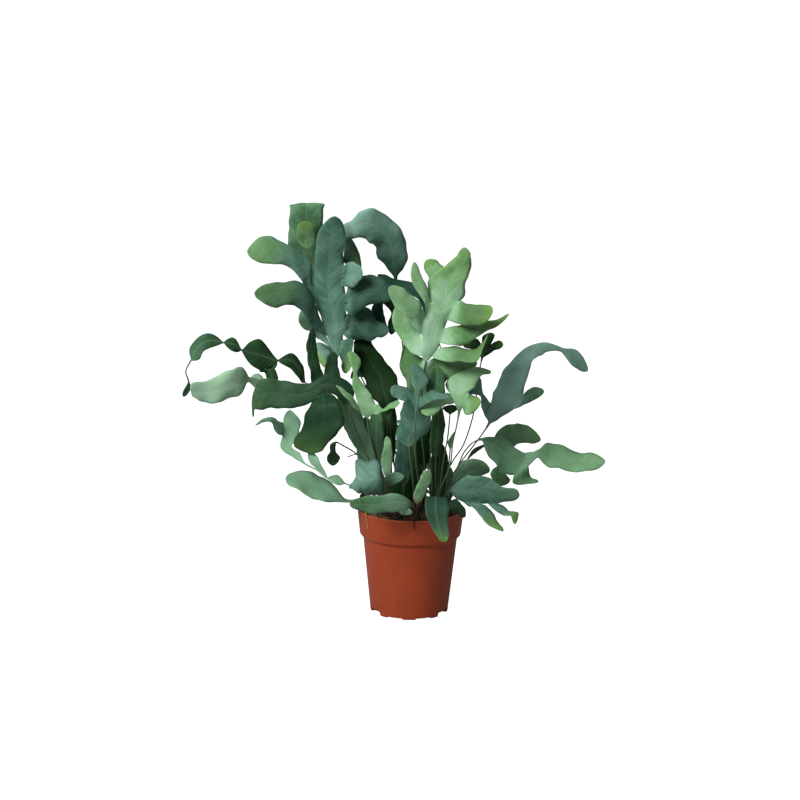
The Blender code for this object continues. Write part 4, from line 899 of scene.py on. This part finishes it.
def rounded(profile):
    """Profile with each corner (radius, height, fillet) replaced by a parabola of five points."""
    out = []
    count = len(profile)
    for i, (radius, height, fillet) in enumerate(profile):
        here = np.array((radius, height))
        if fillet == 0 or i in (0, count - 1):
            out.append(here[None])
            continue
        before = unit(np.array(profile[i - 1][:2]) - here)
        after = unit(np.array(profile[i + 1][:2]) - here)
        t = np.linspace(0, 1, 5)[:, None]
        a = here + before * fillet
        b = here + after * fillet
        out.append((1 - t) ** 2 * a + 2 * t * (1 - t) * here + t**2 * b)
    return np.concatenate(out).T


def foot_lift(angle, radius, height):
    """Notches in the foot: four deep ones and four shallow ones, each with sloping ends."""
    turn = np.degrees(angle) + 90
    rise = np.zeros(np.broadcast_shapes(angle.shape, radius.shape))
    for middle, half, depth in ((62, 14, NOTCH_DEEP), (22, 12, NOTCH_SHALLOW)):
        for centre in (middle, -middle, 180 - middle, 180 + middle):
            off = np.abs((turn - centre + 180) % 360 - 180)
            rise = np.maximum(rise, depth * smooth((half - off) / 2.0 + 0.5))
    low = smooth((0.0075 - height) / 0.0055)
    return rise * low * smooth((radius - 0.034) / 0.0045)


def tube(path, radii, sides):
    """Closed round tube: a circle of the given radius carried along the path, with a pole at each end."""
    along = unit(np.gradient(path, axis=0))
    first = unit(np.cross(along, (0.13, 0.21, 0.97)))
    second = np.cross(along, first)
    angle = np.linspace(0, 2 * math.pi, sides, endpoint=False)[None, :, None]
    ring = np.cos(angle) * first[:, None] + np.sin(angle) * second[:, None]
    return closed(path[1:-1, None] + ring[1:-1] * radii[1:-1, None, None], path[0], path[-1])


def along_path(path, at):
    """Points of the path at the shares at of its row."""
    t = np.linspace(0, 1, len(path))
    return np.stack([np.interp(at, t, path[:, k]) for k in range(3)], -1)


def joined(parts):
    """One set of points and faces from several."""
    points, quads, triangles = [], [], []
    first = 0
    for part in parts:
        points.append(part[0])
        quads.append(np.asarray(part[1], dtype=int).reshape(-1, 4) + first)
        triangles.append(np.asarray(part[2], dtype=int).reshape(-1, 3) + first)
        first += len(part[0])
    return np.concatenate(points), np.concatenate(quads), np.concatenate(triangles)


def spikes(roots, ways, lengths, widths, bend):
    """Many small pointed hairs: a triangle at the root, a narrower one half way, and a point."""
    side = unit(np.cross(ways, (0.31, 0.17, 0.93)))
    other = np.cross(ways, side)
    angle = np.array((0.0, 2.1, 4.2))[None, :, None]
    ring = np.cos(angle) * side[:, None] + np.sin(angle) * other[:, None]
    low = roots[:, None] + ring * widths[:, None, None]
    mid = (roots + ways * lengths[:, None] * 0.5 + bend * 0.25)[:, None] + ring * widths[:, None, None] * 0.7
    tip = (roots + ways * lengths[:, None] + bend)[:, None]
    points = np.concatenate([low, mid, tip], 1)
    start = (np.arange(len(roots)) * 7)[:, None, None]
    quads = np.array(((0, 1, 4, 3), (1, 2, 5, 4), (2, 0, 3, 5)))[None] + start
    triangles = np.array(((3, 4, 6), (4, 5, 6), (5, 3, 6), (2, 1, 0)))[None] + start
    return points.reshape(-1, 3), quads.reshape(-1, 4), triangles.reshape(-1, 3)


def crumbs(centres, sizes, seed):
    """Many small lumps: a twenty-faced ball for each, stretched and turned its own way."""
    rng = np.random.default_rng(seed)
    g = (1 + 5**0.5) / 2
    ball = np.array(((-1, g, 0), (1, g, 0), (-1, -g, 0), (1, -g, 0), (0, -1, g), (0, 1, g),
                     (0, -1, -g), (0, 1, -g), (g, 0, -1), (g, 0, 1), (-g, 0, -1), (-g, 0, 1))) / 1.9
    faces = np.array(((0, 11, 5), (0, 5, 1), (0, 1, 7), (0, 7, 10), (0, 10, 11), (1, 5, 9), (5, 11, 4),
                      (11, 10, 2), (10, 7, 6), (7, 1, 8), (3, 9, 4), (3, 4, 2), (3, 2, 6), (3, 6, 8),
                      (3, 8, 9), (4, 9, 5), (2, 4, 11), (6, 2, 10), (8, 6, 7), (9, 8, 1)))
    count = len(centres)
    first = unit(rng.normal(size=(count, 3)))
    second = unit(np.cross(first, rng.normal(size=(count, 3))))
    axes = np.stack([first, second, np.cross(first, second)], 1)
    stretch = rng.uniform(0.6, 1.3, size=(count, 1, 3))
    wobble = rng.uniform(0.8, 1.15, size=(count, 12, 1))
    points = centres[:, None] + (ball[None] * stretch * wobble) @ axes * sizes[:, None, None]
    triangles = faces[None] + (np.arange(count) * 12)[:, None, None]
    return points.reshape(-1, 3), np.zeros((0, 4), int), triangles.reshape(-1, 3)


class Wiring:
    """Places and joins the nodes of one tree."""

    def __init__(self, tree):
        self.tree = tree

    def node(self, kind, **settings):
        """A new node with its settings."""
        made = self.tree.nodes.new(kind)
        for label, value in settings.items():
            setattr(made, label, value)
        return made

    def feed(self, value, socket):
        """Links another socket to the socket, or sets it to a number or colour."""
        if isinstance(value, bpy.types.NodeSocket):
            self.tree.links.new(value, socket)
        elif socket.type == "RGBA":
            socket.default_value = (*value[:3], 1.0)
        else:
            socket.default_value = value

    def math(self, operation, *values, clamp=False):
        """Works out one operation on numbers or sockets."""
        made = self.node("ShaderNodeMath", operation=operation, use_clamp=clamp)
        for value, socket in zip(values, made.inputs):
            self.feed(value, socket)
        return made.outputs[0]

    def times(self, first, second, clamp=False):
        """The product, held between 0 and 1 when clamped."""
        return self.math("MULTIPLY", first, second, clamp=clamp)

    def plus(self, first, second):
        """The sum."""
        return self.math("ADD", first, second)

    def less(self, first, second):
        """The first less the second."""
        return self.math("SUBTRACT", first, second)

    def rest(self, share):
        """What is left of 1."""
        return self.math("SUBTRACT", 1.0, share)

    def mix(self, share, first, second):
        """The first colour at 0, the second at 1."""
        made = self.node("ShaderNodeMix", data_type="RGBA")
        for value, socket in ((share, made.inputs[0]), (first, made.inputs[6]), (second, made.inputs[7])):
            self.feed(value, socket)
        return made.outputs[2]

    def fade(self, value, start, end):
        """0 at start, 1 at end, with an even S between."""
        made = self.node("ShaderNodeMapRange", interpolation_type="SMOOTHSTEP")
        for item, socket in ((value, 0), (start, 1), (end, 2), (0.0, 3), (1.0, 4)):
            self.feed(item, made.inputs[socket])
        return made.outputs[0]

    def noise(self, place, scale, detail=2.0, roughness=0.5):
        """Soft random field from 0 to 1."""
        made = self.node("ShaderNodeTexNoise")
        settings = {"Vector": place, "Scale": scale, "Detail": detail, "Roughness": roughness}
        for label, value in settings.items():
            self.feed(value, made.inputs[label])
        return made.outputs["Fac"]

    def height(self, place):
        """The upright part of a place."""
        parts = self.node("ShaderNodeSeparateXYZ")
        self.feed(place, parts.inputs[0])
        return parts.outputs[2]

    def marked(self, label):
        """The piece's own attribute of that name."""
        return self.node("ShaderNodeAttribute", attribute_name=label).outputs["Fac"]


def new_group(name, inputs, outputs):
    """Shader node group with named inputs (name, kind, value) and outputs (name, kind)."""
    tree = bpy.data.node_groups.new(name, "ShaderNodeTree")
    for label, kind, value in inputs:
        socket = tree.interface.new_socket(label, in_out="INPUT", socket_type="NodeSocket" + kind)
        if value is not None:
            socket.default_value = value
    for label, kind in outputs:
        tree.interface.new_socket(label, in_out="OUTPUT", socket_type="NodeSocket" + kind)
    wires = Wiring(tree)
    return wires, wires.node("NodeGroupInput").outputs, wires.node("NodeGroupOutput").inputs


def speckle_group():
    """Coarse and fine mottling between two colours, with its mask and a height for bumps."""
    inputs = (("Place", "Vector", None), ("Scale", "Float", 100.0), ("Contrast", "Float", 0.5),
              ("Light", "Color", (1, 1, 1, 1)), ("Dark", "Color", (0, 0, 0, 1)))
    outputs = (("Color", "Color"), ("Mask", "Float"), ("Height", "Float"))
    w, given, out = new_group("speckle", inputs, outputs)
    coarse = w.noise(given["Place"], given["Scale"], 3.0, 0.55)
    fine = w.noise(given["Place"], w.times(given["Scale"], 7.0), 3.0, 0.6)
    both = w.plus(w.times(coarse, 0.6), w.times(fine, 0.4))
    reach = w.less(0.32, w.times(given["Contrast"], 0.28))
    low = w.less(0.5, reach)
    high = w.plus(0.5, reach)
    mask = w.fade(both, low, high)
    w.feed(w.mix(mask, given["Dark"], given["Light"]), out["Color"])
    w.feed(mask, out["Mask"])
    w.feed(both, out["Height"])
    return w.tree


def tissue_group():
    """Fern blade: waxy bloom in soft patches, paler ribs, side veins, net veins, fresh tips, stalk, and
    painted light and shade that lighten it towards the bloom and darken it towards the deep colour.
    """
    inputs = (("Place", "Vector", None), ("Plan", "Vector", None), ("Blade", "Color", (0.1, 0.2, 0.15, 1)),
              ("Bloom", "Color", (0.2, 0.33, 0.29, 1)), ("Deep", "Color", (0.03, 0.07, 0.04, 1)),
              ("Fresh", "Color", (0.25, 0.42, 0.12, 1)), ("Rib", "Color", (0.3, 0.42, 0.28, 1)),
              ("Underside", "Color", (0.16, 0.28, 0.16, 1)), ("Stalk", "Color", (0.12, 0.13, 0.08, 1)),
              ("Bloom Amount", "Float", 0.5))
    outputs = (("Color", "Color"), ("Roughness", "Float"), ("Height", "Float"))
    w, given, out = new_group("leaf tissue", inputs, outputs)
    parts = w.node("ShaderNodeSeparateXYZ")
    w.feed(given["Plan"], parts.inputs[0])
    across = w.math("ABSOLUTE", parts.outputs[0])
    soft = w.noise(given["Place"], 42.0, 3.0, 0.5)
    grain = w.noise(given["Place"], 620.0, 2.0, 0.6)
    bend = w.times(w.less(w.noise(given["Place"], 150.0, 2.0), 0.5), 5.0)
    onward = w.plus(w.less(parts.outputs[1], w.times(across, 0.85)), bend)
    saw = w.math("PINGPONG", onward, 2.9)
    side_vein = w.fade(saw, 2.35, 2.9)
    streak = w.node("ShaderNodeCombineXYZ")
    w.feed(w.times(onward, 0.22), streak.inputs[0])
    w.feed(w.times(parts.outputs[0], 0.05), streak.inputs[1])
    brushed = w.noise(streak.outputs[0], 1.0, 3.0, 0.6)
    veinlets = w.node("ShaderNodeTexVoronoi", feature="DISTANCE_TO_EDGE")
    w.feed(given["Plan"], veinlets.inputs["Vector"])
    w.feed(0.42, veinlets.inputs["Scale"])
    net = w.rest(w.fade(veinlets.outputs["Distance"], 0.0, 0.11))
    rib = w.rest(w.fade(w.marked("rib"), 0.45, 1.5))
    near_rib = w.rest(w.fade(w.marked("rib"), 1.0, 6.0))
    margin = w.rest(w.fade(w.marked("margin"), 0.05, 0.9))
    tone = w.marked("tone")
    patches = w.fade(w.plus(w.times(soft, 0.55), w.times(brushed, 0.45)), 0.36, 0.64)
    bloom = w.times(patches, given["Bloom Amount"])
    colour = w.mix(bloom, given["Blade"], given["Bloom"])
    under = w.times(w.rest(w.marked("upper")), 0.7)
    colour = w.mix(under, colour, given["Underside"])
    # Painted light and shade: a high tone lightens the blade towards the bloom, a low one darkens it towards
    # the deep colour.
    colour = w.mix(w.times(tone, 0.75, clamp=True), colour, given["Bloom"])
    dark = w.times(tone, -0.85, clamp=True)
    colour = w.mix(dark, colour, given["Deep"])
    # Where shade is painted, the ribs, veins and margin are less pale.
    pale = w.rest(w.times(dark, 0.82))
    fresh = w.times(w.marked("fresh"), w.plus(0.55, w.times(brushed, 0.9)), clamp=True)
    colour = w.mix(fresh, colour, given["Fresh"])
    old = w.fade(w.noise(given["Place"], 210.0, 2.0), 0.54, 0.66)
    old = w.times(old, w.fade(w.marked("fresh"), 0.78, 0.95))
    colour = w.mix(w.times(old, 0.75), colour, OLD_TIP)
    colour = w.mix(w.times(w.times(margin, pale), 0.18), colour, given["Rib"])
    veins = w.plus(w.times(side_vein, 0.07), w.times(net, 0.05))
    veins = w.plus(veins, w.times(near_rib, 0.10))
    veins = w.times(w.math("MAXIMUM", veins, w.times(rib, 0.26)), pale)
    colour = w.mix(veins, colour, given["Rib"])
    stalk = w.mix(w.times(grain, 0.22), given["Stalk"], given["Rib"])
    foot = w.rest(w.fade(w.height(given["Place"]), 0.125, 0.175))
    stalk = w.mix(w.times(foot, 0.85), stalk, STALK_FOOT)
    colour = w.mix(w.marked("stalk"), colour, stalk)
    w.feed(colour, out["Color"])
    rough = w.plus(0.36, w.times(patches, 0.14))
    rough = w.plus(rough, w.times(grain, 0.10))
    w.feed(w.plus(rough, w.times(under, 0.15)), out["Roughness"])
    height = w.less(w.times(grain, 0.25), w.times(side_vein, 0.55))
    w.feed(w.less(height, w.times(net, 0.25)), out["Height"])
    return w.tree


def new_material(name, specular, sheen=0.0):
    """Material with its own Principled shader; returns it with its wiring, shader and object coordinates."""
    made = bpy.data.materials.new(name)
    made.use_nodes = True
    w = Wiring(made.node_tree)
    shader = made.node_tree.nodes["Principled BSDF"]
    shader.inputs["Specular IOR Level"].default_value = specular
    shader.inputs["Sheen Weight"].default_value = sheen
    place = w.node("ShaderNodeTexCoord").outputs["Object"]
    return made, w, shader, place


def finish(w, shader, colour, roughness, height, strength, distance):
    """Joins a colour, a roughness and a bump of the given height to the shader."""
    w.feed(colour, shader.inputs["Base Color"])
    w.feed(roughness, shader.inputs["Roughness"])
    bump = w.node("ShaderNodeBump")
    bump.inputs["Strength"].default_value = strength
    bump.inputs["Distance"].default_value = distance
    w.feed(height, bump.inputs["Height"])
    w.feed(bump.outputs[0], shader.inputs["Normal"])


def use_group(w, tree, values):
    """Places a node group, sets its inputs and returns its outputs."""
    made = w.node("ShaderNodeGroup", node_tree=tree)
    for label, value in values.items():
        w.feed(value, made.inputs[label])
    return made.outputs


# The deep colour of each look paints shade on blades and lobes whose tone is low.
def leaf_material(name, tissue, blade, bloom, deep, underside, amount, shine):
    """Waxy blade: the tissue group with this frond's colours, and a faint sheen."""
    made, w, shader, place = new_material(name, shine, 0.01)
    plan = w.node("ShaderNodeUVMap", uv_map="blade_plan").outputs[0]
    out = use_group(w, tissue, {
        "Place": place, "Plan": plan, "Blade": blade, "Bloom": bloom, "Deep": deep, "Fresh": FRESH_TIP,
        "Rib": PALE_RIB, "Underside": underside, "Stalk": STALK, "Bloom Amount": amount})
    finish(w, shader, out["Color"], out["Roughness"], out["Height"], 0.5, 0.0004)
    return made


def speckled(name, speckle, scale, contrast, light, dark, roughness, bump, sheen=0.0):
    """Earth, hair and roots: mottled colour, rough all over, with a bump of the given depth."""
    made, w, shader, place = new_material(name, 0.3, sheen)
    out = use_group(w, speckle, {
        "Place": place, "Scale": scale, "Contrast": contrast, "Light": light, "Dark": dark})
    finish(w, shader, out["Color"], w.plus(roughness, w.times(out["Mask"], 0.12)), out["Height"], 0.8, bump)
    return made


def pot_material(speckle):
    """Moulded satin plastic: faint cloudiness, upright flow lines, earth dust near rim and foot, and a
    painted highlight along the top edge of the rim.
    """
    made, w, shader, place = new_material("terracotta_plastic", 0.16)
    cloud = use_group(w, speckle, {
        "Place": place, "Scale": 34.0, "Contrast": 0.1, "Light": POT_LIGHT, "Dark": POT_DARK})
    up = w.height(place)
    flow = w.node("ShaderNodeMapping")
    w.feed(place, flow.inputs["Vector"])
    flow.inputs["Scale"].default_value = (190.0, 190.0, 9.0)
    lines = w.noise(flow.outputs[0], 1.0, 2.0, 0.5)
    colour = w.mix(w.times(w.fade(lines, 0.60, 0.80), 0.16), cloud["Color"], POT_PALE)
    grain = w.noise(place, 1500.0, 2.0, 0.5)
    specks = w.fade(w.noise(place, 520.0, 2.0, 0.55), 0.62, 0.74)
    low = w.rest(w.fade(up, 0.002, 0.022))
    high = w.fade(up, 0.100, POT_HEIGHT)
    worn = w.times(specks, w.plus(w.times(low, 0.35), w.times(high, 0.45)))
    colour = w.mix(worn, colour, PEAT_LIGHT)
    # Painted highlight: the top edge of the rim is made paler where it faces the light.
    lip_highlight = w.fade(up, POT_HEIGHT - 0.0016, POT_HEIGHT - 0.0002)
    colour = w.mix(w.times(lip_highlight, 0.35), colour, POT_PALE)
    rough = w.plus(0.34, w.times(cloud["Mask"], 0.07))
    rough = w.plus(rough, w.times(grain, 0.08))
    rough = w.plus(rough, w.times(worn, 0.5))
    height = w.plus(w.times(grain, 0.30), w.times(lines, 0.5))
    finish(w, shader, colour, rough, w.plus(height, worn), 0.35, 0.0002)
    return made


def build_pot(look):
    """The rounded profile of one moulded wall, outside and inside, turned about the upright axis."""
    profile = (
        (0, 0.0, 0), (0.030, 0.0, 0.002), (0.0385, 0.0, 0.001), (FOOT_RADIUS, 0.0, 0.0010),
        (FOOT_RADIUS + 0.0006, 0.0062, 0.001), (BODY_TOP_RADIUS, BAND_LOW - 0.0035, 0.0008),
        (BAND_RADIUS - 0.0003, BAND_LOW, 0.0012), (RIM_RADIUS, POT_HEIGHT, 0.0011),
        (RIM_RADIUS - 0.0024, POT_HEIGHT - 0.0001, 0.0010), (BAND_RADIUS - WALL, BAND_LOW + 0.002, 0.001),
        (BODY_TOP_RADIUS - WALL, BAND_LOW - 0.003, 0.001),
        (FOOT_RADIUS - WALL + 0.0006, 0.0075, 0.001), (0, 0.0075, 0))
    radii, heights = filled(rounded(profile), 0.0022)
    piece("nursery_pot", lathe(radii, heights, POT_SEGMENTS, foot_lift), look, "pot")


def filled(profile, longest):
    """The same profile with extra points so that no step is longer than longest."""
    radii, heights = profile
    gap = np.hypot(np.diff(radii), np.diff(heights))
    parts = np.maximum(1, np.ceil(gap / longest)).astype(int)
    at = np.concatenate([i + np.arange(n) / n for i, n in enumerate(parts)] + [[len(radii) - 1]])
    base = np.arange(len(radii))
    return np.interp(at, base, radii), np.interp(at, base, heights)


def build_soil(look):
    """Peat: a disc whose height is the soil's parabola plus coarse and fine lumps, strewn with loose
    crumbs and fibres.
    """
    inset = WALL + GAP + 0.0003
    slope = (RIM_RADIUS - BAND_RADIUS) / BAND_HEIGHT
    edge = BAND_RADIUS - inset + slope * (SOIL_EDGE - BAND_LOW) - 0.0002
    top = np.linspace(edge, 0, 64)
    radii = np.concatenate([[0, FOOT_RADIUS - inset, BODY_TOP_RADIUS - inset, BAND_RADIUS - inset], top])
    heights = np.concatenate([[0.0080, 0.0080, BAND_LOW - 0.0034, BAND_LOW + 0.003], soil_height(top)])

    def lumps(angle, radius, height):
        """Rise of the peat at a place: broad noise plus the size of a finer one, only near the top."""
        flat = turned(radius, angle, 0.0)[..., :2]
        rise = 0.0011 * noise(flat, 0.017, 3) + 0.0010 * np.abs(noise(flat, 0.0058, 4)) - 0.0004
        return rise * smooth((height - SOIL_EDGE + 0.004) / 0.003)

    bed = lathe(radii, heights, 240, lumps)
    rng = np.random.default_rng(11)
    far = edge * np.sqrt(rng.uniform(0, 1, CRUMBS)) * 0.985
    turn = rng.uniform(0, 2 * math.pi, CRUMBS)
    sizes = 0.0005 + 0.0017 * rng.uniform(0, 1, CRUMBS) ** 2.5
    level = soil_height(far) + lumps(turn, far, soil_height(far)) + sizes * 0.25
    loose = crumbs(turned(far, turn, level), sizes, 12)
    far = edge * np.sqrt(rng.uniform(0, 1, FIBRES)) * 0.9
    turn = rng.uniform(0, 2 * math.pi, FIBRES)
    roots = turned(far, turn, soil_height(far) + 0.0008)
    ways = unit(rng.normal(size=(FIBRES, 3)) * (1, 1, 0.25))
    bend = rng.normal(size=(FIBRES, 3)) * (0.0015, 0.0015, 0.0003)
    lengths = rng.uniform(0.003, 0.008, FIBRES)
    fibres = spikes(roots, ways, lengths, rng.uniform(0.00008, 0.0002, FIBRES), bend)
    piece("soil_bed", joined([bed, loose, fibres]), look, "soil")


def creeping(start, end, bow, radius, steps):
    """Path and radii of a runner that lies on the soil: a straight line bowed sideways by a sine."""
    t = np.linspace(0, 1, steps)
    x = start[0] + (end[0] - start[0]) * t + bow[0] * np.sin(math.pi * t)
    y = start[1] + (end[1] - start[1]) * t + bow[1] * np.sin(math.pi * t)
    thick = radius * (0.72 + 0.28 * np.sin(math.pi * np.minimum(1.0, 0.15 + t)))
    return np.stack([x, y, soil_height(np.hypot(x, y)) + thick + GAP], -1), thick


def build_rhizome(look):
    """Hairy runner: a lumpy tube with rounded ends, covered with short golden hairs."""
    path, radii = creeping((-0.046, -0.004), (-0.024, -0.039), (-0.004, -0.004), 0.0028, 60)
    t = np.linspace(0, 1, 60)
    radii = radii * (1 - np.abs(2 * t - 1) ** 9) ** 0.5 * (1 + 0.10 * np.sin(t * 41) + 0.06 * np.sin(t * 97))
    body = tube(path, radii, 18)
    rng = np.random.default_rng(21)
    at = rng.uniform(0.01, 0.99, RHIZOME_HAIRS)
    thick = np.interp(at, t, radii)
    along = unit(path[-1] - path[0])
    out = unit(np.cross(along, rng.normal(size=(RHIZOME_HAIRS, 3))))
    out[:, 2] = np.where(out[:, 2] < -0.3, -out[:, 2], out[:, 2])
    roots = along_path(path, at) + out * thick[:, None] * 0.96
    leaning = along * rng.uniform(0.1, 1.2, (RHIZOME_HAIRS, 1))
    ways = unit(out + leaning + 0.35 * rng.normal(size=(RHIZOME_HAIRS, 3)))
    lengths = rng.uniform(0.0009, 0.0026, RHIZOME_HAIRS)
    widths = rng.uniform(0.00010, 0.00022, RHIZOME_HAIRS)
    hairs = spikes(roots, ways, lengths, widths, 0.0004 * rng.normal(size=(RHIZOME_HAIRS, 3)))
    piece("rhizome_hairy", joined([body, hairs]), look, "rhizome")


def over_rim(degrees, drift, start, drop, steps):
    """Path of a root that leaves the soil, crosses the rim and hangs down its outside.

    Its height rises as a quarter of a sine and then falls as a power, while its radius grows evenly to
    the rim and then keeps clear of the sloping wall.
    """
    t = np.linspace(0, 1, steps)
    inside = np.minimum(1.0, t / 0.4)
    outside = np.maximum(0.0, (t - 0.55) / 0.45)
    height = SOIL_EDGE + 0.0018 + (POT_HEIGHT + 0.0018 - SOIL_EDGE) * np.sin(inside * math.pi / 2)
    height = height - drop * outside**1.4
    over = np.clip((t - 0.2) / 0.4, 0, 1)
    radius = start + (RIM_RADIUS + 0.0022 - start) * over
    wall = BAND_RADIUS + (RIM_RADIUS - BAND_RADIUS) * (height - POT_HEIGHT + BAND_HEIGHT) / BAND_HEIGHT
    radius = np.where(outside > 0, np.maximum(wall + 0.0012, radius - 0.004 * outside), radius)
    return turned(radius, np.radians(degrees + drift * t), height)


def build_root(name, node, path, radius, look, seed, longest=0.0022):
    """Thin root: a tube along the path that thins out, with a slight wiggle and fine side hairs.

    No hair points in towards the pot's axis.
    """
    rng = np.random.default_rng(seed)
    t = np.linspace(0, 1, len(path))
    path = path + np.stack([np.sin(t * 23 + k * 2 + seed) for k in range(3)], -1) * 0.00022
    roots = along_path(path, rng.uniform(0.05, 0.98, ROOT_HAIRS))
    outward = unit(roots * (1, 1, 0))
    ways = rng.normal(size=(ROOT_HAIRS, 3))
    ways = unit(ways - outward * np.minimum(0.0, (ways * outward).sum(1))[:, None] + (0, 0, 0.2))
    hairs = spikes(roots, ways, rng.uniform(0.0008, longest, ROOT_HAIRS), np.full(ROOT_HAIRS, 0.00009),
                   0.0004 * rng.normal(size=(ROOT_HAIRS, 3)))
    piece(name, joined([tube(path, radius * (1.1 - 0.6 * t), 10), hairs]), look, node)


def build_fronds(looks):
    """One blade with its stipe for each entry of the tables."""
    shapes = [(entry, table_frond(entry)) for entry in FRONDS]
    shapes += [(entry, far_frond(entry)) for entry in FRONDS_FAR]
    for (name, colour, *_), shape in shapes:
        *surface, plan, marks = thickened(frond_surface(name, *shape))
        piece(name + "_blade", surface, looks[colour], name, plan, marks)


def build_camera():
    """A camera with upright axes turned down about the right one and then leant about its view."""
    down = math.radians(CAMERA_DOWN)
    lean = math.radians(CAMERA_LEAN)
    back = Vector((0.0, -math.cos(down), math.sin(down)))
    level = Vector((1.0, 0.0, 0.0))
    steep = Vector((0.0, math.sin(down), math.cos(down)))
    right = level * math.cos(lean) + steep * math.sin(lean)
    up = back.cross(right)
    data = bpy.data.cameras.new("camera")
    data.lens = CAMERA_LENS
    data.sensor_width = SENSOR
    data.clip_start = 0.05
    data.clip_end = 50.0
    camera = placed("camera", data)
    turn = Matrix((right, up, back)).transposed().to_4x4()
    camera.matrix_world = Matrix.Translation(CAMERA_PLACE) @ turn
    bpy.context.scene.camera = camera


def soft_box(name, place, target, size, power, colour):
    """Square soft light that faces the target."""
    data = bpy.data.lights.new(name, "AREA")
    data.shape = "SQUARE"
    data.size = size
    data.energy = power
    data.color = colour
    light = placed(name, data)
    turn = (Vector(target) - Vector(place)).to_track_quat("-Z", "Y")
    light.matrix_world = Matrix.Translation(place) @ turn.to_matrix().to_4x4()


def build_studio():
    """White surroundings, the soft boxes and a round pale floor that the camera sees as white."""
    surroundings = bpy.data.worlds.new("studio")
    bpy.context.scene.world = surroundings
    surroundings.use_nodes = True
    w = Wiring(surroundings.node_tree)
    shader = surroundings.node_tree.nodes["Background"]
    shader.inputs["Color"].default_value = (1.0, 1.0, 1.0, 1.0)
    seen = w.node("ShaderNodeLightPath").outputs["Is Camera Ray"]
    w.feed(w.plus(AMBIENT, w.times(seen, SEEN_WHITE - AMBIENT)), shader.inputs["Strength"])
    for light in LIGHTS:
        soft_box(*light)
    made, w, shader, _ = new_material("pale_floor", 0.2)
    shader.inputs["Roughness"].default_value = 0.9
    shader.inputs["Base Color"].default_value = (0.45, 0.45, 0.45, 1.0)
    shader.inputs["Emission Color"].default_value = (1.0, 1.0, 1.0, 1.0)
    seen = w.node("ShaderNodeLightPath").outputs["Is Camera Ray"]
    w.feed(w.times(seen, 0.98), shader.inputs["Emission Strength"])
    rim = turned(FLOOR_RADIUS, np.linspace(0, 2 * math.pi, 96, endpoint=False), -0.0001)
    mesh = bpy.data.meshes.new("floor")
    mesh.from_pydata(rim.tolist(), [], [tuple(range(96))])
    mesh.materials.append(made)
    floor = placed("floor", mesh)
    view = bpy.context.scene.view_settings
    view.view_transform = "Standard"
    view.look = "None"


def main():
    """Builds camera and studio, then the looks and the pieces from the pot upwards."""
    build_camera()
    build_studio()
    speckle = speckle_group()
    tissue = tissue_group()
    looks = {name: leaf_material(name, tissue, *values) for name, values in BLADES.items()}
    build_pot(pot_material(speckle))
    build_soil(speckled("peat", speckle, 260.0, 0.7, PEAT_LIGHT, PEAT_DARK, 0.85, 0.0008))
    build_rhizome(speckled("rhizome", speckle, 420.0, 0.5, RHIZOME_LIGHT, RHIZOME_DARK, 0.7, 0.0003, 0.1))
    dark = speckled("root_dark", speckle, 500.0, 0.5, *DARK_ROOT, 0.6, 0.0002)
    gold = speckled("root_gold", speckle, 500.0, 0.5, *GOLDEN_ROOT, 0.6, 0.0002)
    build_root("root_over_front", "root_front", over_rim(-91, 5, 0.050, 0.0130, 70), 0.0010, dark, 5)
    build_root("root_over_left", "root_left", over_rim(-148, 6, 0.050, 0.0200, 70), 0.0007, gold, 6, 0.0060)
    build_fronds(looks)


main()
